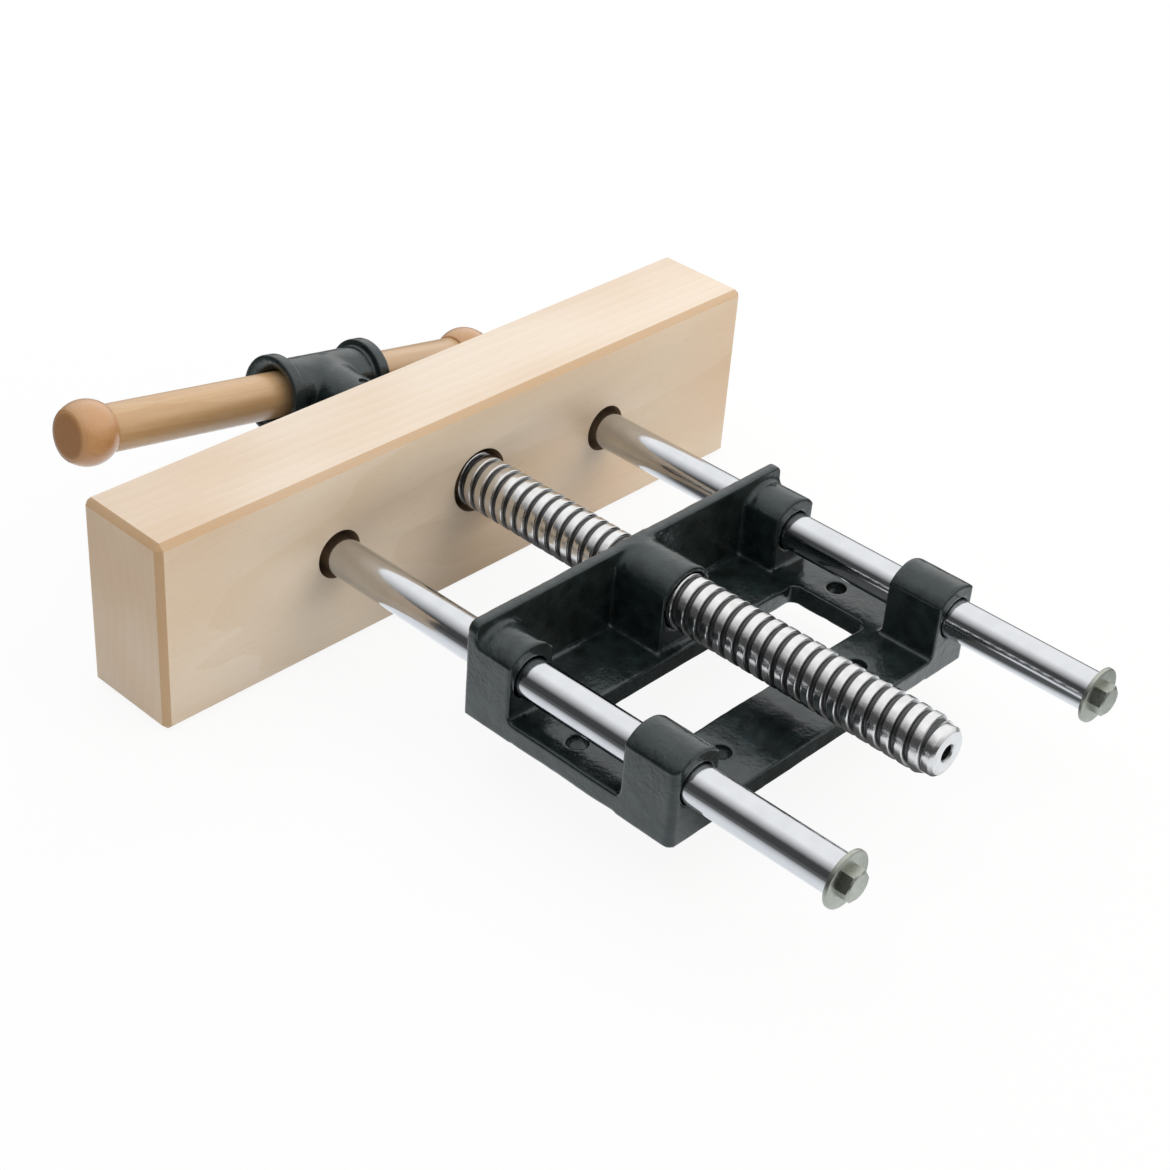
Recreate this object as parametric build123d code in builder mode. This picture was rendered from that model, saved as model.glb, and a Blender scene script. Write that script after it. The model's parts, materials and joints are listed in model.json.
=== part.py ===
from build123d import *
from math import cos, radians, sin, sqrt
import os

# Front vise, drawn as it lies with its mounting face down.
# X runs along the jaw, +Y from the handle towards the guide rods' free ends, +Z up from the mounting face.
# The origin is on the mounting face, midway between the two rear bolt holes.

# Wooden jaw
jaw_length = 380.0
jaw_height = 99.0
jaw_thickness = 54.0
jaw_chamfer = 3.0
jaw_below_mounting = 24.3
jaw_opening = 98.0
jaw_rod_hole_gap = 2.9
jaw_screw_hole_gap = 3.0

# Guide rods and the hardware on their free ends
rod_diameter = 19.0
rod_spacing = 178.0
rod_height = 28.3
rod_past_bracket = 75.6
rod_chamfer = 1.2
end_washer_overhang = 3.75
end_washer_thickness = 2.0
end_bolt_diameter = 8.0
end_bolt_length = 22.0
end_bolt_flats = 13.0
end_bolt_head = 5.5
end_bolt_crown = 0.7

# Lead screw
screw_above_rods = 4.5
screw_diameter = 27.4
screw_past_bracket = 59.6
screw_end_diameter = 23.4
screw_end_length = 5.5
screw_end_chamfer = 1.5
centre_hole_diameter = 6.4
centre_hole_depth = 9.0
centre_hole_bevel = 1.6
journal_diameter = 20.0
journal_chamfer = 1.0

# Rear bracket casting
bracket_depth = 122.4
base_thickness = 10.5
base_corner = 4.0
wall_thickness = 6.0
wall_corner = 5.0
front_strip = 41.0
rear_strip = 38.4
window_corner = 4.0
rod_boss_wall = 7.5
rod_web_inset = 3.5
front_boss_length = 27.0
rear_boss_length = 30.0
nut_boss_wall = 3.8
nut_web_inset = 2.0
nut_boss_length = 36.5
casting_fillet = 2.0
bolt_hole_diameter = 9.0
rear_bolt_spacing = 94.4
rear_bolt_inset = 21.4
front_bolt_inset = 66.4

# Front plate casting
plate_thickness = 8.0
plate_boss_wall = 8.5
plate_margin = 6.0
plate_boss_length = 20.0
plate_boss_draft = 3.0
journal_boss_wall = 10.0
plate_middle_margin = 8.0
journal_boss_length = 16.0
plate_rib_width = 7.0
plate_rib_height = 13.0
plate_rib_sag = 5.0
rod_pin_diameter = 6.0
rod_end_recess = 2.0
jaw_screw_spacing_x = 100.0
jaw_screw_spacing_z = 26.0
jaw_screw_diameter = 6.0
jaw_screw_head = 11.5
jaw_screw_length = 45.0
jaw_screw_point = 7.0

# Thrust washer, retaining collar and its set screw
thrust_washer_wall = 8.0
thrust_washer_thickness = 3.0
collar_wall = 5.0
collar_length = 10.0
collar_chamfer = 1.0
set_screw_diameter = 5.0
set_screw_recess = 0.5
set_screw_socket = 2.5
set_screw_socket_depth = 2.25

# Handle hub
hub_reach = 37.9
hub_length = 65.0
hub_wall = 4.9
hub_neck_wall = 6.3
hub_collar_rise = 3.6
hub_collar_width = 7.0
hub_rim = 3.0
hub_mouth_depth = 7.0
hub_mouth_flare = 9.8
hub_edge_fillet = 1.2
hub_floor = 2.4
hub_pin_diameter = 5.0
hub_pin_inset = 6.2

# Handle bar and knobs
handle_turn = 10.3
handle_diameter = 23.4
handle_bore_gap = 0.4
knob_radius = 16.0
knob_span = 249.2
knob_edge = 0.8
knob_end_radius = 11.5
handle_offset = 19.0
tenon_diameter = 12.0
tenon_length = 11.0

# Clearances and recesses
running_gap = 0.10
thread_gap = 0.25
seat_gap = 0.05
face_gap = 0.30
pin_recess = 1.0

# Sizes and places that follow
screw_height = rod_height + screw_above_rods
rear_y = rear_bolt_inset
wall_y = rear_y - bracket_depth
clamp_y = wall_y - jaw_opening
jaw_front_y = clamp_y - jaw_thickness
plate_front_y = jaw_front_y - plate_thickness
plate_boss_y = plate_front_y - plate_boss_length
journal_boss_y = plate_front_y - journal_boss_length
thrust_y = journal_boss_y - thrust_washer_thickness - face_gap
hub_y = thrust_y - hub_reach
rod_front_y = plate_boss_y + rod_end_recess
rod_rear_y = rear_y + rod_past_bracket
screw_rear_y = rear_y + screw_past_bracket
collar_y = jaw_front_y + face_gap
shoulder_y = collar_y + collar_length
rod_x = rod_spacing / 2
rod_radius = rod_diameter / 2
screw_radius = screw_diameter / 2
journal_radius = journal_diameter / 2
handle_radius = handle_diameter / 2
handle_bore_radius = handle_radius + handle_bore_gap
rod_boss_radius = rod_radius + rod_boss_wall
rod_web_half = rod_boss_radius - rod_web_inset
bracket_width = rod_spacing + 2 * rod_web_half
nut_boss_radius = screw_radius + nut_boss_wall
nut_web_half = nut_boss_radius - nut_web_inset
wall_height = screw_height + nut_boss_radius
plate_boss_radius = rod_radius + plate_boss_wall
journal_boss_radius = journal_radius + journal_boss_wall
collar_radius = journal_radius + collar_wall
hub_tube_radius = handle_bore_radius + hub_wall
hub_neck_radius = journal_radius + hub_neck_wall
hub_collar_radius = hub_tube_radius + hub_collar_rise
hub_mouth_radius = hub_collar_radius - hub_rim
journal_end_y = hub_y + handle_bore_radius + hub_floor + seat_gap
rod_pin_y = (plate_front_y + plate_boss_y) / 2
hub_pin_y = thrust_y - hub_pin_inset
rod_places = {"left": -rod_x, "right": rod_x}
tilt = radians(handle_turn)
hub_middle = (0, hub_y, screw_height)
handle_line = Axis(hub_middle, (cos(tilt), 0, sin(tilt)))
# Plane through the handle: its own x is the radius and its own y runs along the handle
handle_profile = Plane(origin=hub_middle, x_dir=(0, 1, 0), z_dir=(sin(tilt), 0, -cos(tilt)))
# The hub's pin is square to the handle and to the screw
hub_pin_middle = (0, hub_pin_y, screw_height)
hub_pin_plane = Plane(origin=hub_pin_middle, x_dir=(0, 1, 0), z_dir=(-sin(tilt), 0, cos(tilt)))


def across(y):
    """Plane square to the rods at y, facing +Y; its own y is up and its own x is -X."""
    return Plane(origin=(0, y, 0), x_dir=(-1, 0, 0), z_dir=(0, 1, 0))


def turned_about(x, z):
    """Plane through an axis along Y; its own x is the radius and its own y is Y."""
    return Plane(origin=(x, 0, z), x_dir=(1, 0, 0), z_dir=(0, 0, 1))


def axis_along_y(x, z):
    """Axis along Y through x and z."""
    return Axis((x, 0, z), (0, 1, 0))


def across_handle(distance):
    """Plane square to the handle, at a distance along it from the hub's middle."""
    middle = (distance * cos(tilt), hub_y, screw_height + distance * sin(tilt))
    return Plane(origin=middle, x_dir=(0, 1, 0), z_dir=(cos(tilt), 0, sin(tilt)))


def arch(half_width, axis_height, radius):
    """Edges of an arch on the mounting face: flat sides up to an arc about the axis at axis_height."""
    crease = axis_height + sqrt(radius**2 - half_width**2)
    with BuildLine() as outline:
        Polyline((-half_width, crease), (-half_width, 0), (half_width, 0), (half_width, crease))
        ThreePointArc((half_width, crease), (0, axis_height + radius), (-half_width, crease))
    return outline.edges()


def in_casting_corner(edge):
    """True for a straight inside corner on the base or on the wall."""
    middle = edge.center()
    on_base = abs(middle.Z - base_thickness) < 0.01
    on_wall = abs(middle.Y - wall_y - wall_thickness) < 0.01
    return edge.geom_type == GeomType.LINE and (on_base or on_wall) and edge.is_interior


def at_collar_foot(edge):
    """True where one of the hub's end collars rises from the cross tube."""
    return edge.geom_type == GeomType.CIRCLE and abs(edge.radius - hub_tube_radius) < 0.01


os.makedirs("parts", exist_ok=True)

# Wooden jaw: a chamfered block with clearance holes for the rods and the screw
jaw_middle_z = jaw_height / 2 - jaw_below_mounting
with BuildPart() as wood_jaw:
    with BuildSketch(across(jaw_front_y)):
        with Locations((0, jaw_middle_z)):
            Rectangle(jaw_length, jaw_height)
    extrude(amount=jaw_thickness)
    chamfer(wood_jaw.edges(), jaw_chamfer)
    with BuildSketch(across(jaw_front_y)):
        with Locations((-rod_x, rod_height), (rod_x, rod_height)):
            Circle(rod_radius + jaw_rod_hole_gap)
        with Locations((0, screw_height)):
            Circle(screw_radius + jaw_screw_hole_gap)
    extrude(amount=jaw_thickness, mode=Mode.SUBTRACT)
    with BuildSketch(across(jaw_front_y)):
        with Locations((0, screw_height)):
            with GridLocations(jaw_screw_spacing_x, jaw_screw_spacing_z, 2, 2):
                Circle(jaw_screw_diameter / 2 + seat_gap)
    extrude(amount=jaw_screw_length - plate_thickness + face_gap, mode=Mode.SUBTRACT)
wood_jaw.part.label = "wood_jaw"
export_step(wood_jaw.part, "parts/wood_jaw.step")

# Rear bracket: one casting with a base frame, a front wall, four rod bosses and the nut boss
# Each boss is an arch with flat sides; the outer side of a rod boss is flush with the side of the base
rear_boss_y = rear_y - rear_boss_length
window_length = bracket_depth - front_strip - rear_strip
window_width = rod_spacing - 2 * rod_web_half
rod_arch = arch(rod_web_half, rod_height, rod_boss_radius)
bosses = [(0, wall_y, nut_boss_length, arch(nut_web_half, screw_height, nut_boss_radius))]
for x in rod_places.values():
    bosses.append((x, wall_y, front_boss_length, rod_arch))
    bosses.append((x, rear_boss_y, rear_boss_length, rod_arch))

with BuildPart() as rear_bracket:
    with BuildSketch(Plane.XY) as base:
        with Locations((0, wall_y + bracket_depth / 2)):
            Rectangle(bracket_width, bracket_depth)
        with Locations((0, wall_y + front_strip + window_length / 2)):
            RectangleRounded(window_width, window_length, window_corner, mode=Mode.SUBTRACT)
    extrude(amount=base_thickness)
    with BuildSketch(across(wall_y)) as wall:
        with Locations((0, wall_height / 2)):
            Rectangle(bracket_width, wall_height)
        fillet(wall.vertices().group_by(Axis.Y)[-1], wall_corner)
    extrude(amount=wall_thickness)
    for x, y, length, edges in bosses:
        with BuildSketch(Plane(origin=(x, y, 0), x_dir=(-1, 0, 0), z_dir=(0, 1, 0))):
            make_face(edges)
        extrude(amount=length)
    rear_corners = rear_bracket.edges().filter_by(Axis.Z).group_by(Axis.Y)[-1].sort_by(Axis.X)
    fillet([rear_corners[0], rear_corners[-1]], base_corner)
    fillet(rear_bracket.edges().filter_by(in_casting_corner), casting_fillet)
    with BuildSketch(across(wall_y)):
        with Locations((-rod_x, rod_height), (rod_x, rod_height)):
            Circle(rod_radius + running_gap)
        with Locations((0, screw_height)):
            Circle(screw_radius + thread_gap)
    extrude(amount=bracket_depth, mode=Mode.SUBTRACT)
    with BuildSketch(Plane.XY):
        with Locations((0, rear_y - rear_bolt_inset)):
            with GridLocations(rear_bolt_spacing, 0, 2, 1):
                Circle(bolt_hole_diameter / 2)
        with Locations((0, rear_y - front_bolt_inset)):
            with GridLocations(rod_spacing, 0, 2, 1):
                Circle(bolt_hole_diameter / 2)
    extrude(amount=base_thickness, mode=Mode.SUBTRACT)
rear_bracket.part.label = "rear_bracket"
export_step(rear_bracket.part, "parts/rear_bracket.step")

# Guide rods, each with a tapped hole in its free end and a cross hole for its pin
for side, x in rod_places.items():
    with BuildPart() as guide_rod:
        with BuildSketch(Plane(origin=(x, rod_front_y, rod_height), x_dir=(-1, 0, 0), z_dir=(0, 1, 0))):
            Circle(rod_radius)
        extrude(amount=rod_rear_y - rod_front_y)
        chamfer(guide_rod.edges().filter_by(GeomType.CIRCLE), rod_chamfer)
        with BuildSketch(Plane(origin=(x, rod_rear_y, rod_height), x_dir=(1, 0, 0), z_dir=(0, -1, 0))):
            Circle(end_bolt_diameter / 2 + seat_gap)
        extrude(amount=end_bolt_length - end_washer_thickness + face_gap, mode=Mode.SUBTRACT)
        with BuildSketch(Plane(origin=(x, rod_pin_y, rod_height))):
            Circle(rod_pin_diameter / 2 + seat_gap)
        extrude(amount=rod_radius, both=True, mode=Mode.SUBTRACT)
    guide_rod.part.label = f"guide_rod_{side}"
    export_step(guide_rod.part, f"parts/guide_rod_{side}.step")

# Washers and hexagon bolts that stop the rods in the bracket's rear bosses
for side, x in rod_places.items():
    end_plane = Plane(origin=(x, rod_rear_y, rod_height), x_dir=(-1, 0, 0), z_dir=(0, 1, 0))
    with BuildPart() as rod_washer:
        with BuildSketch(end_plane):
            Circle(rod_radius + end_washer_overhang)
            Circle(end_bolt_diameter / 2 + face_gap, mode=Mode.SUBTRACT)
        extrude(amount=end_washer_thickness)
    rod_washer.part.label = f"rod_washer_{side}"
    export_step(rod_washer.part, f"parts/rod_washer_{side}.step")

    head_y = rod_rear_y + end_washer_thickness
    head_corner = end_bolt_flats / sqrt(3)
    with BuildPart() as rod_bolt:
        with BuildSketch(Plane(origin=(x, head_y, rod_height), x_dir=(-1, 0, 0), z_dir=(0, 1, 0))):
            RegularPolygon(head_corner, 6)
        extrude(amount=end_bolt_head)
        # The crown of the head is turned: a cone cuts the six corners back
        with BuildSketch(turned_about(x, rod_height)):
            with BuildLine():
                Polyline(
                    (head_corner - 2 * end_bolt_crown, head_y + end_bolt_head),
                    (head_corner, head_y + end_bolt_head - end_bolt_crown),
                    (head_corner + end_bolt_crown, head_y + end_bolt_head - end_bolt_crown),
                    (head_corner + end_bolt_crown, head_y + end_bolt_head),
                    close=True,
                )
            make_face()
        revolve(axis=axis_along_y(x, rod_height), mode=Mode.SUBTRACT)
        with BuildSketch(Plane(origin=(x, head_y, rod_height), x_dir=(1, 0, 0), z_dir=(0, -1, 0))):
            Circle(end_bolt_diameter / 2)
        extrude(amount=end_bolt_length)
    rod_bolt.part.label = f"rod_bolt_{side}"
    export_step(rod_bolt.part, f"parts/rod_bolt_{side}.step")

# Front plate: a casting screwed to the jaw that carries both rods and the screw's journal
rib_middle_z = (rod_height + screw_height) / 2
head_radius = jaw_screw_head / 2
shank_radius = jaw_screw_diameter / 2
with BuildPart() as front_plate:
    with BuildSketch(across(jaw_front_y)):
        with BuildLine():
            CenterArc((-rod_x, rod_height), plate_boss_radius + plate_margin, 0, 360)
            CenterArc((rod_x, rod_height), plate_boss_radius + plate_margin, 0, 360)
            CenterArc((0, screw_height), journal_boss_radius + plate_middle_margin, 0, 360)
        make_hull()
    extrude(amount=-plate_thickness)
    with BuildSketch(across(plate_front_y)):
        with Locations((-rod_x, rod_height), (rod_x, rod_height)):
            Circle(plate_boss_radius)
    extrude(amount=-plate_boss_length, taper=plate_boss_draft)
    with BuildSketch(across(plate_front_y)):
        with Locations((0, screw_height)):
            Circle(journal_boss_radius)
    extrude(amount=-journal_boss_length)
    with BuildSketch(Plane.XY.offset(rib_middle_z)):
        for side in (-1, 1):
            with BuildLine():
                start = (side * journal_boss_radius / 2, plate_front_y - plate_rib_height)
                end = (side * rod_x, plate_front_y - plate_rib_height)
                Polyline(start, (start[0], plate_front_y), (end[0], plate_front_y), end)
                SagittaArc(start, end, side * plate_rib_sag)
            make_face()
    extrude(amount=plate_rib_width / 2, both=True)
    with BuildSketch(across(jaw_front_y)):
        with Locations((-rod_x, rod_height), (rod_x, rod_height)):
            Circle(rod_radius + seat_gap)
        with Locations((0, screw_height)):
            Circle(journal_radius + running_gap)
    extrude(amount=-plate_thickness - plate_boss_length, mode=Mode.SUBTRACT)
    with BuildSketch(Plane(origin=(0, rod_pin_y, rod_height))):
        with Locations((-rod_x, 0), (rod_x, 0)):
            Circle(rod_pin_diameter / 2 + seat_gap)
    extrude(amount=plate_boss_radius, both=True, mode=Mode.SUBTRACT)
    with Locations(Plane(origin=(0, plate_front_y, screw_height), x_dir=(1, 0, 0), z_dir=(0, -1, 0))):
        with GridLocations(jaw_screw_spacing_x, jaw_screw_spacing_z, 2, 2):
            CounterSinkHole(shank_radius + seat_gap, head_radius + seat_gap, plate_thickness)
front_plate.part.label = "front_plate"
export_step(front_plate.part, "parts/front_plate.step")

# Cross pins that lock the rods in the front plate
pin_reach = plate_boss_radius - (plate_front_y - rod_pin_y) * sin(radians(plate_boss_draft)) - pin_recess
for side, x in rod_places.items():
    with BuildPart() as rod_pin:
        with BuildSketch(Plane(origin=(x, rod_pin_y, rod_height))):
            Circle(rod_pin_diameter / 2)
        extrude(amount=pin_reach, both=True)
    rod_pin.part.label = f"rod_pin_{side}"
    export_step(rod_pin.part, f"parts/rod_pin_{side}.step")

# Four countersunk wood screws hold the front plate on the jaw
head_depth = head_radius - shank_radius
point_y = plate_front_y + jaw_screw_length
screw_x = jaw_screw_spacing_x / 2
screw_z = jaw_screw_spacing_z / 2
screw_places = [(x, screw_height + z) for x in (-screw_x, screw_x) for z in (-screw_z, screw_z)]
for number, (x, z) in enumerate(screw_places, start=1):
    with BuildPart() as jaw_screw:
        with BuildSketch(turned_about(x, z)):
            with BuildLine():
                Polyline(
                    (0, plate_front_y),
                    (head_radius, plate_front_y),
                    (shank_radius, plate_front_y + head_depth),
                    (shank_radius, point_y - jaw_screw_point),
                    (0, point_y),
                    close=True,
                )
            make_face()
        revolve(axis=axis_along_y(x, z))
    jaw_screw.part.label = f"jaw_screw_{number}"
    export_step(jaw_screw.part, f"parts/jaw_screw_{number}.step")

# Lead screw: thread envelope, plain journal for the front plate and hub, and a turned free end
thread_end_y = screw_rear_y - screw_end_length
end_radius = screw_end_diameter / 2
centre_hole_radius = centre_hole_diameter / 2
with BuildPart() as lead_screw:
    with BuildSketch(turned_about(0, screw_height)):
        with BuildLine():
            Polyline(
                (0, journal_end_y),
                (journal_radius - journal_chamfer, journal_end_y),
                (journal_radius, journal_end_y + journal_chamfer),
                (journal_radius, shoulder_y),
                (screw_radius - screw_end_chamfer, shoulder_y),
                (screw_radius, shoulder_y + screw_end_chamfer),
                (screw_radius, thread_end_y - screw_radius + end_radius),
                (end_radius, thread_end_y),
                (end_radius, screw_rear_y - screw_end_chamfer),
                (end_radius - screw_end_chamfer, screw_rear_y),
                (0, screw_rear_y),
                close=True,
            )
        make_face()
    revolve(axis=axis_along_y(0, screw_height))
    with BuildSketch(turned_about(0, screw_height)):
        with BuildLine():
            Polyline(
                (0, screw_rear_y - centre_hole_depth),
                (centre_hole_radius, screw_rear_y - centre_hole_depth + centre_hole_radius),
                (centre_hole_radius, screw_rear_y - centre_hole_bevel),
                (centre_hole_radius + centre_hole_bevel, screw_rear_y),
                (0, screw_rear_y),
                close=True,
            )
        make_face()
    revolve(axis=axis_along_y(0, screw_height), mode=Mode.SUBTRACT)
    with BuildSketch(hub_pin_plane):
        Circle(hub_pin_diameter / 2 + seat_gap)
    extrude(amount=journal_radius, both=True, mode=Mode.SUBTRACT)
lead_screw.part.label = "lead_screw"
export_step(lead_screw.part, "parts/lead_screw.step")

# Thrust washer between the front plate's journal boss and the hub
with BuildPart() as thrust_washer:
    with BuildSketch(across(thrust_y)):
        with Locations((0, screw_height)):
            Circle(journal_radius + thrust_washer_wall)
            Circle(journal_radius + seat_gap, mode=Mode.SUBTRACT)
    extrude(amount=thrust_washer_thickness)
thrust_washer.part.label = "thrust_washer"
export_step(thrust_washer.part, "parts/thrust_washer.step")

# Retaining collar behind the front plate: it draws the jaw back when the screw is undone
set_screw_y = collar_y + collar_length / 2
set_screw_length = collar_wall - set_screw_recess
collar_top = Plane(origin=(0, set_screw_y, screw_height + journal_radius))
with BuildPart() as retaining_collar:
    with BuildSketch(across(collar_y)):
        with Locations((0, screw_height)):
            Circle(collar_radius)
    extrude(amount=collar_length)
    chamfer(retaining_collar.edges().filter_by(GeomType.CIRCLE), collar_chamfer)
    with BuildSketch(across(collar_y)):
        with Locations((0, screw_height)):
            Circle(journal_radius + seat_gap)
    extrude(amount=collar_length, mode=Mode.SUBTRACT)
    with BuildSketch(collar_top):
        Circle(set_screw_diameter / 2 + seat_gap)
    extrude(amount=collar_radius, mode=Mode.SUBTRACT)
retaining_collar.part.label = "retaining_collar"
export_step(retaining_collar.part, "parts/retaining_collar.step")

with BuildPart() as collar_set_screw:
    with BuildSketch(collar_top):
        Circle(set_screw_diameter / 2)
    extrude(amount=set_screw_length)
    with BuildSketch(collar_top.offset(set_screw_length)):
        RegularPolygon(set_screw_socket / 2, 6, major_radius=False)
    extrude(amount=-set_screw_socket_depth, mode=Mode.SUBTRACT)
collar_set_screw.part.label = "collar_set_screw"
export_step(collar_set_screw.part, "parts/collar_set_screw.step")

# Handle hub: a cast tee, with a collared cross tube for the handle and a neck pinned on the screw's journal
half_length = hub_length / 2
shoulder = half_length - hub_collar_width
bore_end = half_length - hub_mouth_depth
with BuildPart() as handle_hub:
    with BuildSketch(handle_profile) as tube_outline:
        with BuildLine():
            Polyline(
                (0, -half_length),
                (hub_collar_radius, -half_length),
                (hub_collar_radius, -shoulder),
                (hub_tube_radius, -shoulder),
                (hub_tube_radius, shoulder),
                (hub_collar_radius, shoulder),
                (hub_collar_radius, half_length),
                (0, half_length),
                close=True,
            )
        make_face()
        fillet(tube_outline.vertices().group_by(Axis.X)[-1], hub_edge_fillet)
    revolve(axis=handle_line)
    with BuildSketch(across(hub_y)):
        with Locations((0, screw_height)):
            Circle(hub_neck_radius)
    extrude(amount=hub_reach)
    fillet(handle_hub.edges().filter_by(at_collar_foot), hub_edge_fillet)
    # The bore opens through a bell-shaped mouth at each end
    with BuildSketch(handle_profile):
        with BuildLine():
            Line((handle_bore_radius, -bore_end), (handle_bore_radius, bore_end))
            RadiusArc((handle_bore_radius, bore_end), (hub_mouth_radius, half_length), hub_mouth_flare)
            Polyline(
                (hub_mouth_radius, half_length),
                (0, half_length),
                (0, -half_length),
                (hub_mouth_radius, -half_length),
            )
            RadiusArc((hub_mouth_radius, -half_length), (handle_bore_radius, -bore_end), hub_mouth_flare)
        make_face()
    revolve(axis=handle_line, mode=Mode.SUBTRACT)
    with BuildSketch(across(journal_end_y - seat_gap)):
        with Locations((0, screw_height)):
            Circle(journal_radius + seat_gap)
    extrude(amount=thrust_y - journal_end_y + seat_gap, mode=Mode.SUBTRACT)
    with BuildSketch(hub_pin_plane):
        Circle(hub_pin_diameter / 2 + seat_gap)
    extrude(amount=hub_neck_radius, both=True, mode=Mode.SUBTRACT)
handle_hub.part.label = "handle_hub"
export_step(handle_hub.part, "parts/handle_hub.step")

with BuildPart() as hub_pin:
    with BuildSketch(hub_pin_plane):
        Circle(hub_pin_diameter / 2)
    extrude(amount=hub_neck_radius - pin_recess, both=True)
hub_pin.part.label = "hub_pin"
export_step(hub_pin.part, "parts/hub_pin.step")

# Handle bar: a turned dowel with a tenon at each end
knob_face_radius = handle_radius + knob_edge
knob_face = sqrt(knob_radius**2 - knob_face_radius**2)
knob_end = sqrt(knob_radius**2 - knob_end_radius**2)
bar_half = knob_span / 2 - knob_face
with BuildPart() as handle_bar:
    with BuildSketch(across_handle(handle_offset)):
        Circle(handle_radius)
    extrude(amount=bar_half, both=True)
    with BuildSketch(across_handle(handle_offset)):
        Circle(tenon_diameter / 2)
    extrude(amount=bar_half + tenon_length, both=True)
handle_bar.part.label = "handle_bar"
export_step(handle_bar.part, "parts/handle_bar.step")

# Ball knobs with a flat outer end, glued on the tenons once the bar is through the hub
tenon_bore = tenon_diameter / 2 + seat_gap
for side, way in {"left": -1, "right": 1}.items():
    middle = handle_offset + way * knob_span / 2
    end = middle + way * knob_end
    face = middle - way * knob_face
    bore_floor = face + way * (tenon_length + seat_gap)
    with BuildPart() as handle_knob:
        with BuildSketch(handle_profile):
            with BuildLine():
                Polyline(
                    (knob_end_radius, end),
                    (0, end),
                    (0, bore_floor),
                    (tenon_bore, bore_floor),
                    (tenon_bore, face),
                    (knob_face_radius, face),
                )
                ThreePointArc((knob_face_radius, face), (knob_radius, middle), (knob_end_radius, end))
            make_face()
        revolve(axis=handle_line)
    handle_knob.part.label = f"handle_knob_{side}"
    export_step(handle_knob.part, f"parts/handle_knob_{side}.step")
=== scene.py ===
"""Front vise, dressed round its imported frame: castings, thread, wood, plated steel, light and camera."""

import json
import logging
import math
from dataclasses import dataclass
from enum import Enum
from typing import Any, Callable, Optional, Sequence, Union

import bmesh
import bpy
import numpy as np
from mathutils import Matrix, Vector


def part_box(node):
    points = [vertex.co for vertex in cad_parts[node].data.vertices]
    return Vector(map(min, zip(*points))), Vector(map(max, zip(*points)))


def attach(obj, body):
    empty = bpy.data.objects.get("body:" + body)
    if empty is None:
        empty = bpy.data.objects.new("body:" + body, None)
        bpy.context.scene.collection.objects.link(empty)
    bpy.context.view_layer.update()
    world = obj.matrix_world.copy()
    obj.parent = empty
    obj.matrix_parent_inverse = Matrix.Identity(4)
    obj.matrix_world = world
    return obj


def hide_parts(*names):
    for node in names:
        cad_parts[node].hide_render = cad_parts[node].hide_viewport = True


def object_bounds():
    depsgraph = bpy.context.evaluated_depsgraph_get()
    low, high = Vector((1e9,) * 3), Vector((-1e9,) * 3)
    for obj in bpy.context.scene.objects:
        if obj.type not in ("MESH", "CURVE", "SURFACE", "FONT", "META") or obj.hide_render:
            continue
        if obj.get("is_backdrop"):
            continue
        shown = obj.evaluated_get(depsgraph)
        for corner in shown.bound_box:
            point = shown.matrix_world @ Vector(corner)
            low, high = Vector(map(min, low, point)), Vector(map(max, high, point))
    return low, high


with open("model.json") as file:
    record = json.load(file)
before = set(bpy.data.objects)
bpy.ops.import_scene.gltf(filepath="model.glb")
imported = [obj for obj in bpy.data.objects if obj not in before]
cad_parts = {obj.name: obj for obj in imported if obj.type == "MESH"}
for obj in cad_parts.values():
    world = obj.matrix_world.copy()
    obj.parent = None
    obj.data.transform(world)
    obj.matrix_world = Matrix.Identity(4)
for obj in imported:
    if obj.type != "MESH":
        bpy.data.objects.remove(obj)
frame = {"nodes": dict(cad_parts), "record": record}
CAD_BOX = [list(corner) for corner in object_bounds()]

LOG = logging.getLogger("front_vise")
MM = 0.001
TURN = 2.0 * math.pi
WHITE = (1.0, 1.0, 1.0, 1.0)
RECORD = frame["record"]
BODY_OF = {node: body for body, nodes in RECORD["behaviour"]["bodies"].items() for node in nodes}
SLOT_OF = {part["node"]: part["material_slot"] for part in RECORD["subparts"]}

Triple = tuple[float, float, float]
Pair = tuple[float, float]
Distance = Callable[[np.ndarray], np.ndarray]


class Side(Enum):
    """The two sides of the vise, by the node names' last word, with the way their X points."""

    LEFT = -1
    RIGHT = 1

    def node(self, stem: str) -> str:
        """Returns the name of this side's node."""
        return f"{stem}_{self.name.lower()}"


def linear(hex_colour: str) -> tuple[float, float, float, float]:
    """Turns an sRGB hex colour into linear red, green, blue and alpha.

    Args:
        hex_colour: Six hex digits, with or without a leading mark.

    Returns:
        The linear colour with alpha 1.
    """
    digits = hex_colour.lstrip("#")
    channels = [int(digits[i : i + 2], 16) / 255.0 for i in (0, 2, 4)]
    straight = [c / 12.92 if c <= 0.04045 else ((c + 0.055) / 1.055) ** 2.4 for c in channels]
    return (*straight, 1.0)


def reach_of(node: str) -> tuple[np.ndarray, np.ndarray]:
    """Returns the lowest and highest corners of a node, in millimetres."""
    low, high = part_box(node)
    return np.array(low) / MM, np.array(high) / MM


def middle_of(node: str) -> np.ndarray:
    """Returns the middle of a node's box, in millimetres."""
    low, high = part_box(node)
    return (np.array(low) + np.array(high)) / 2.0 / MM


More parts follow.
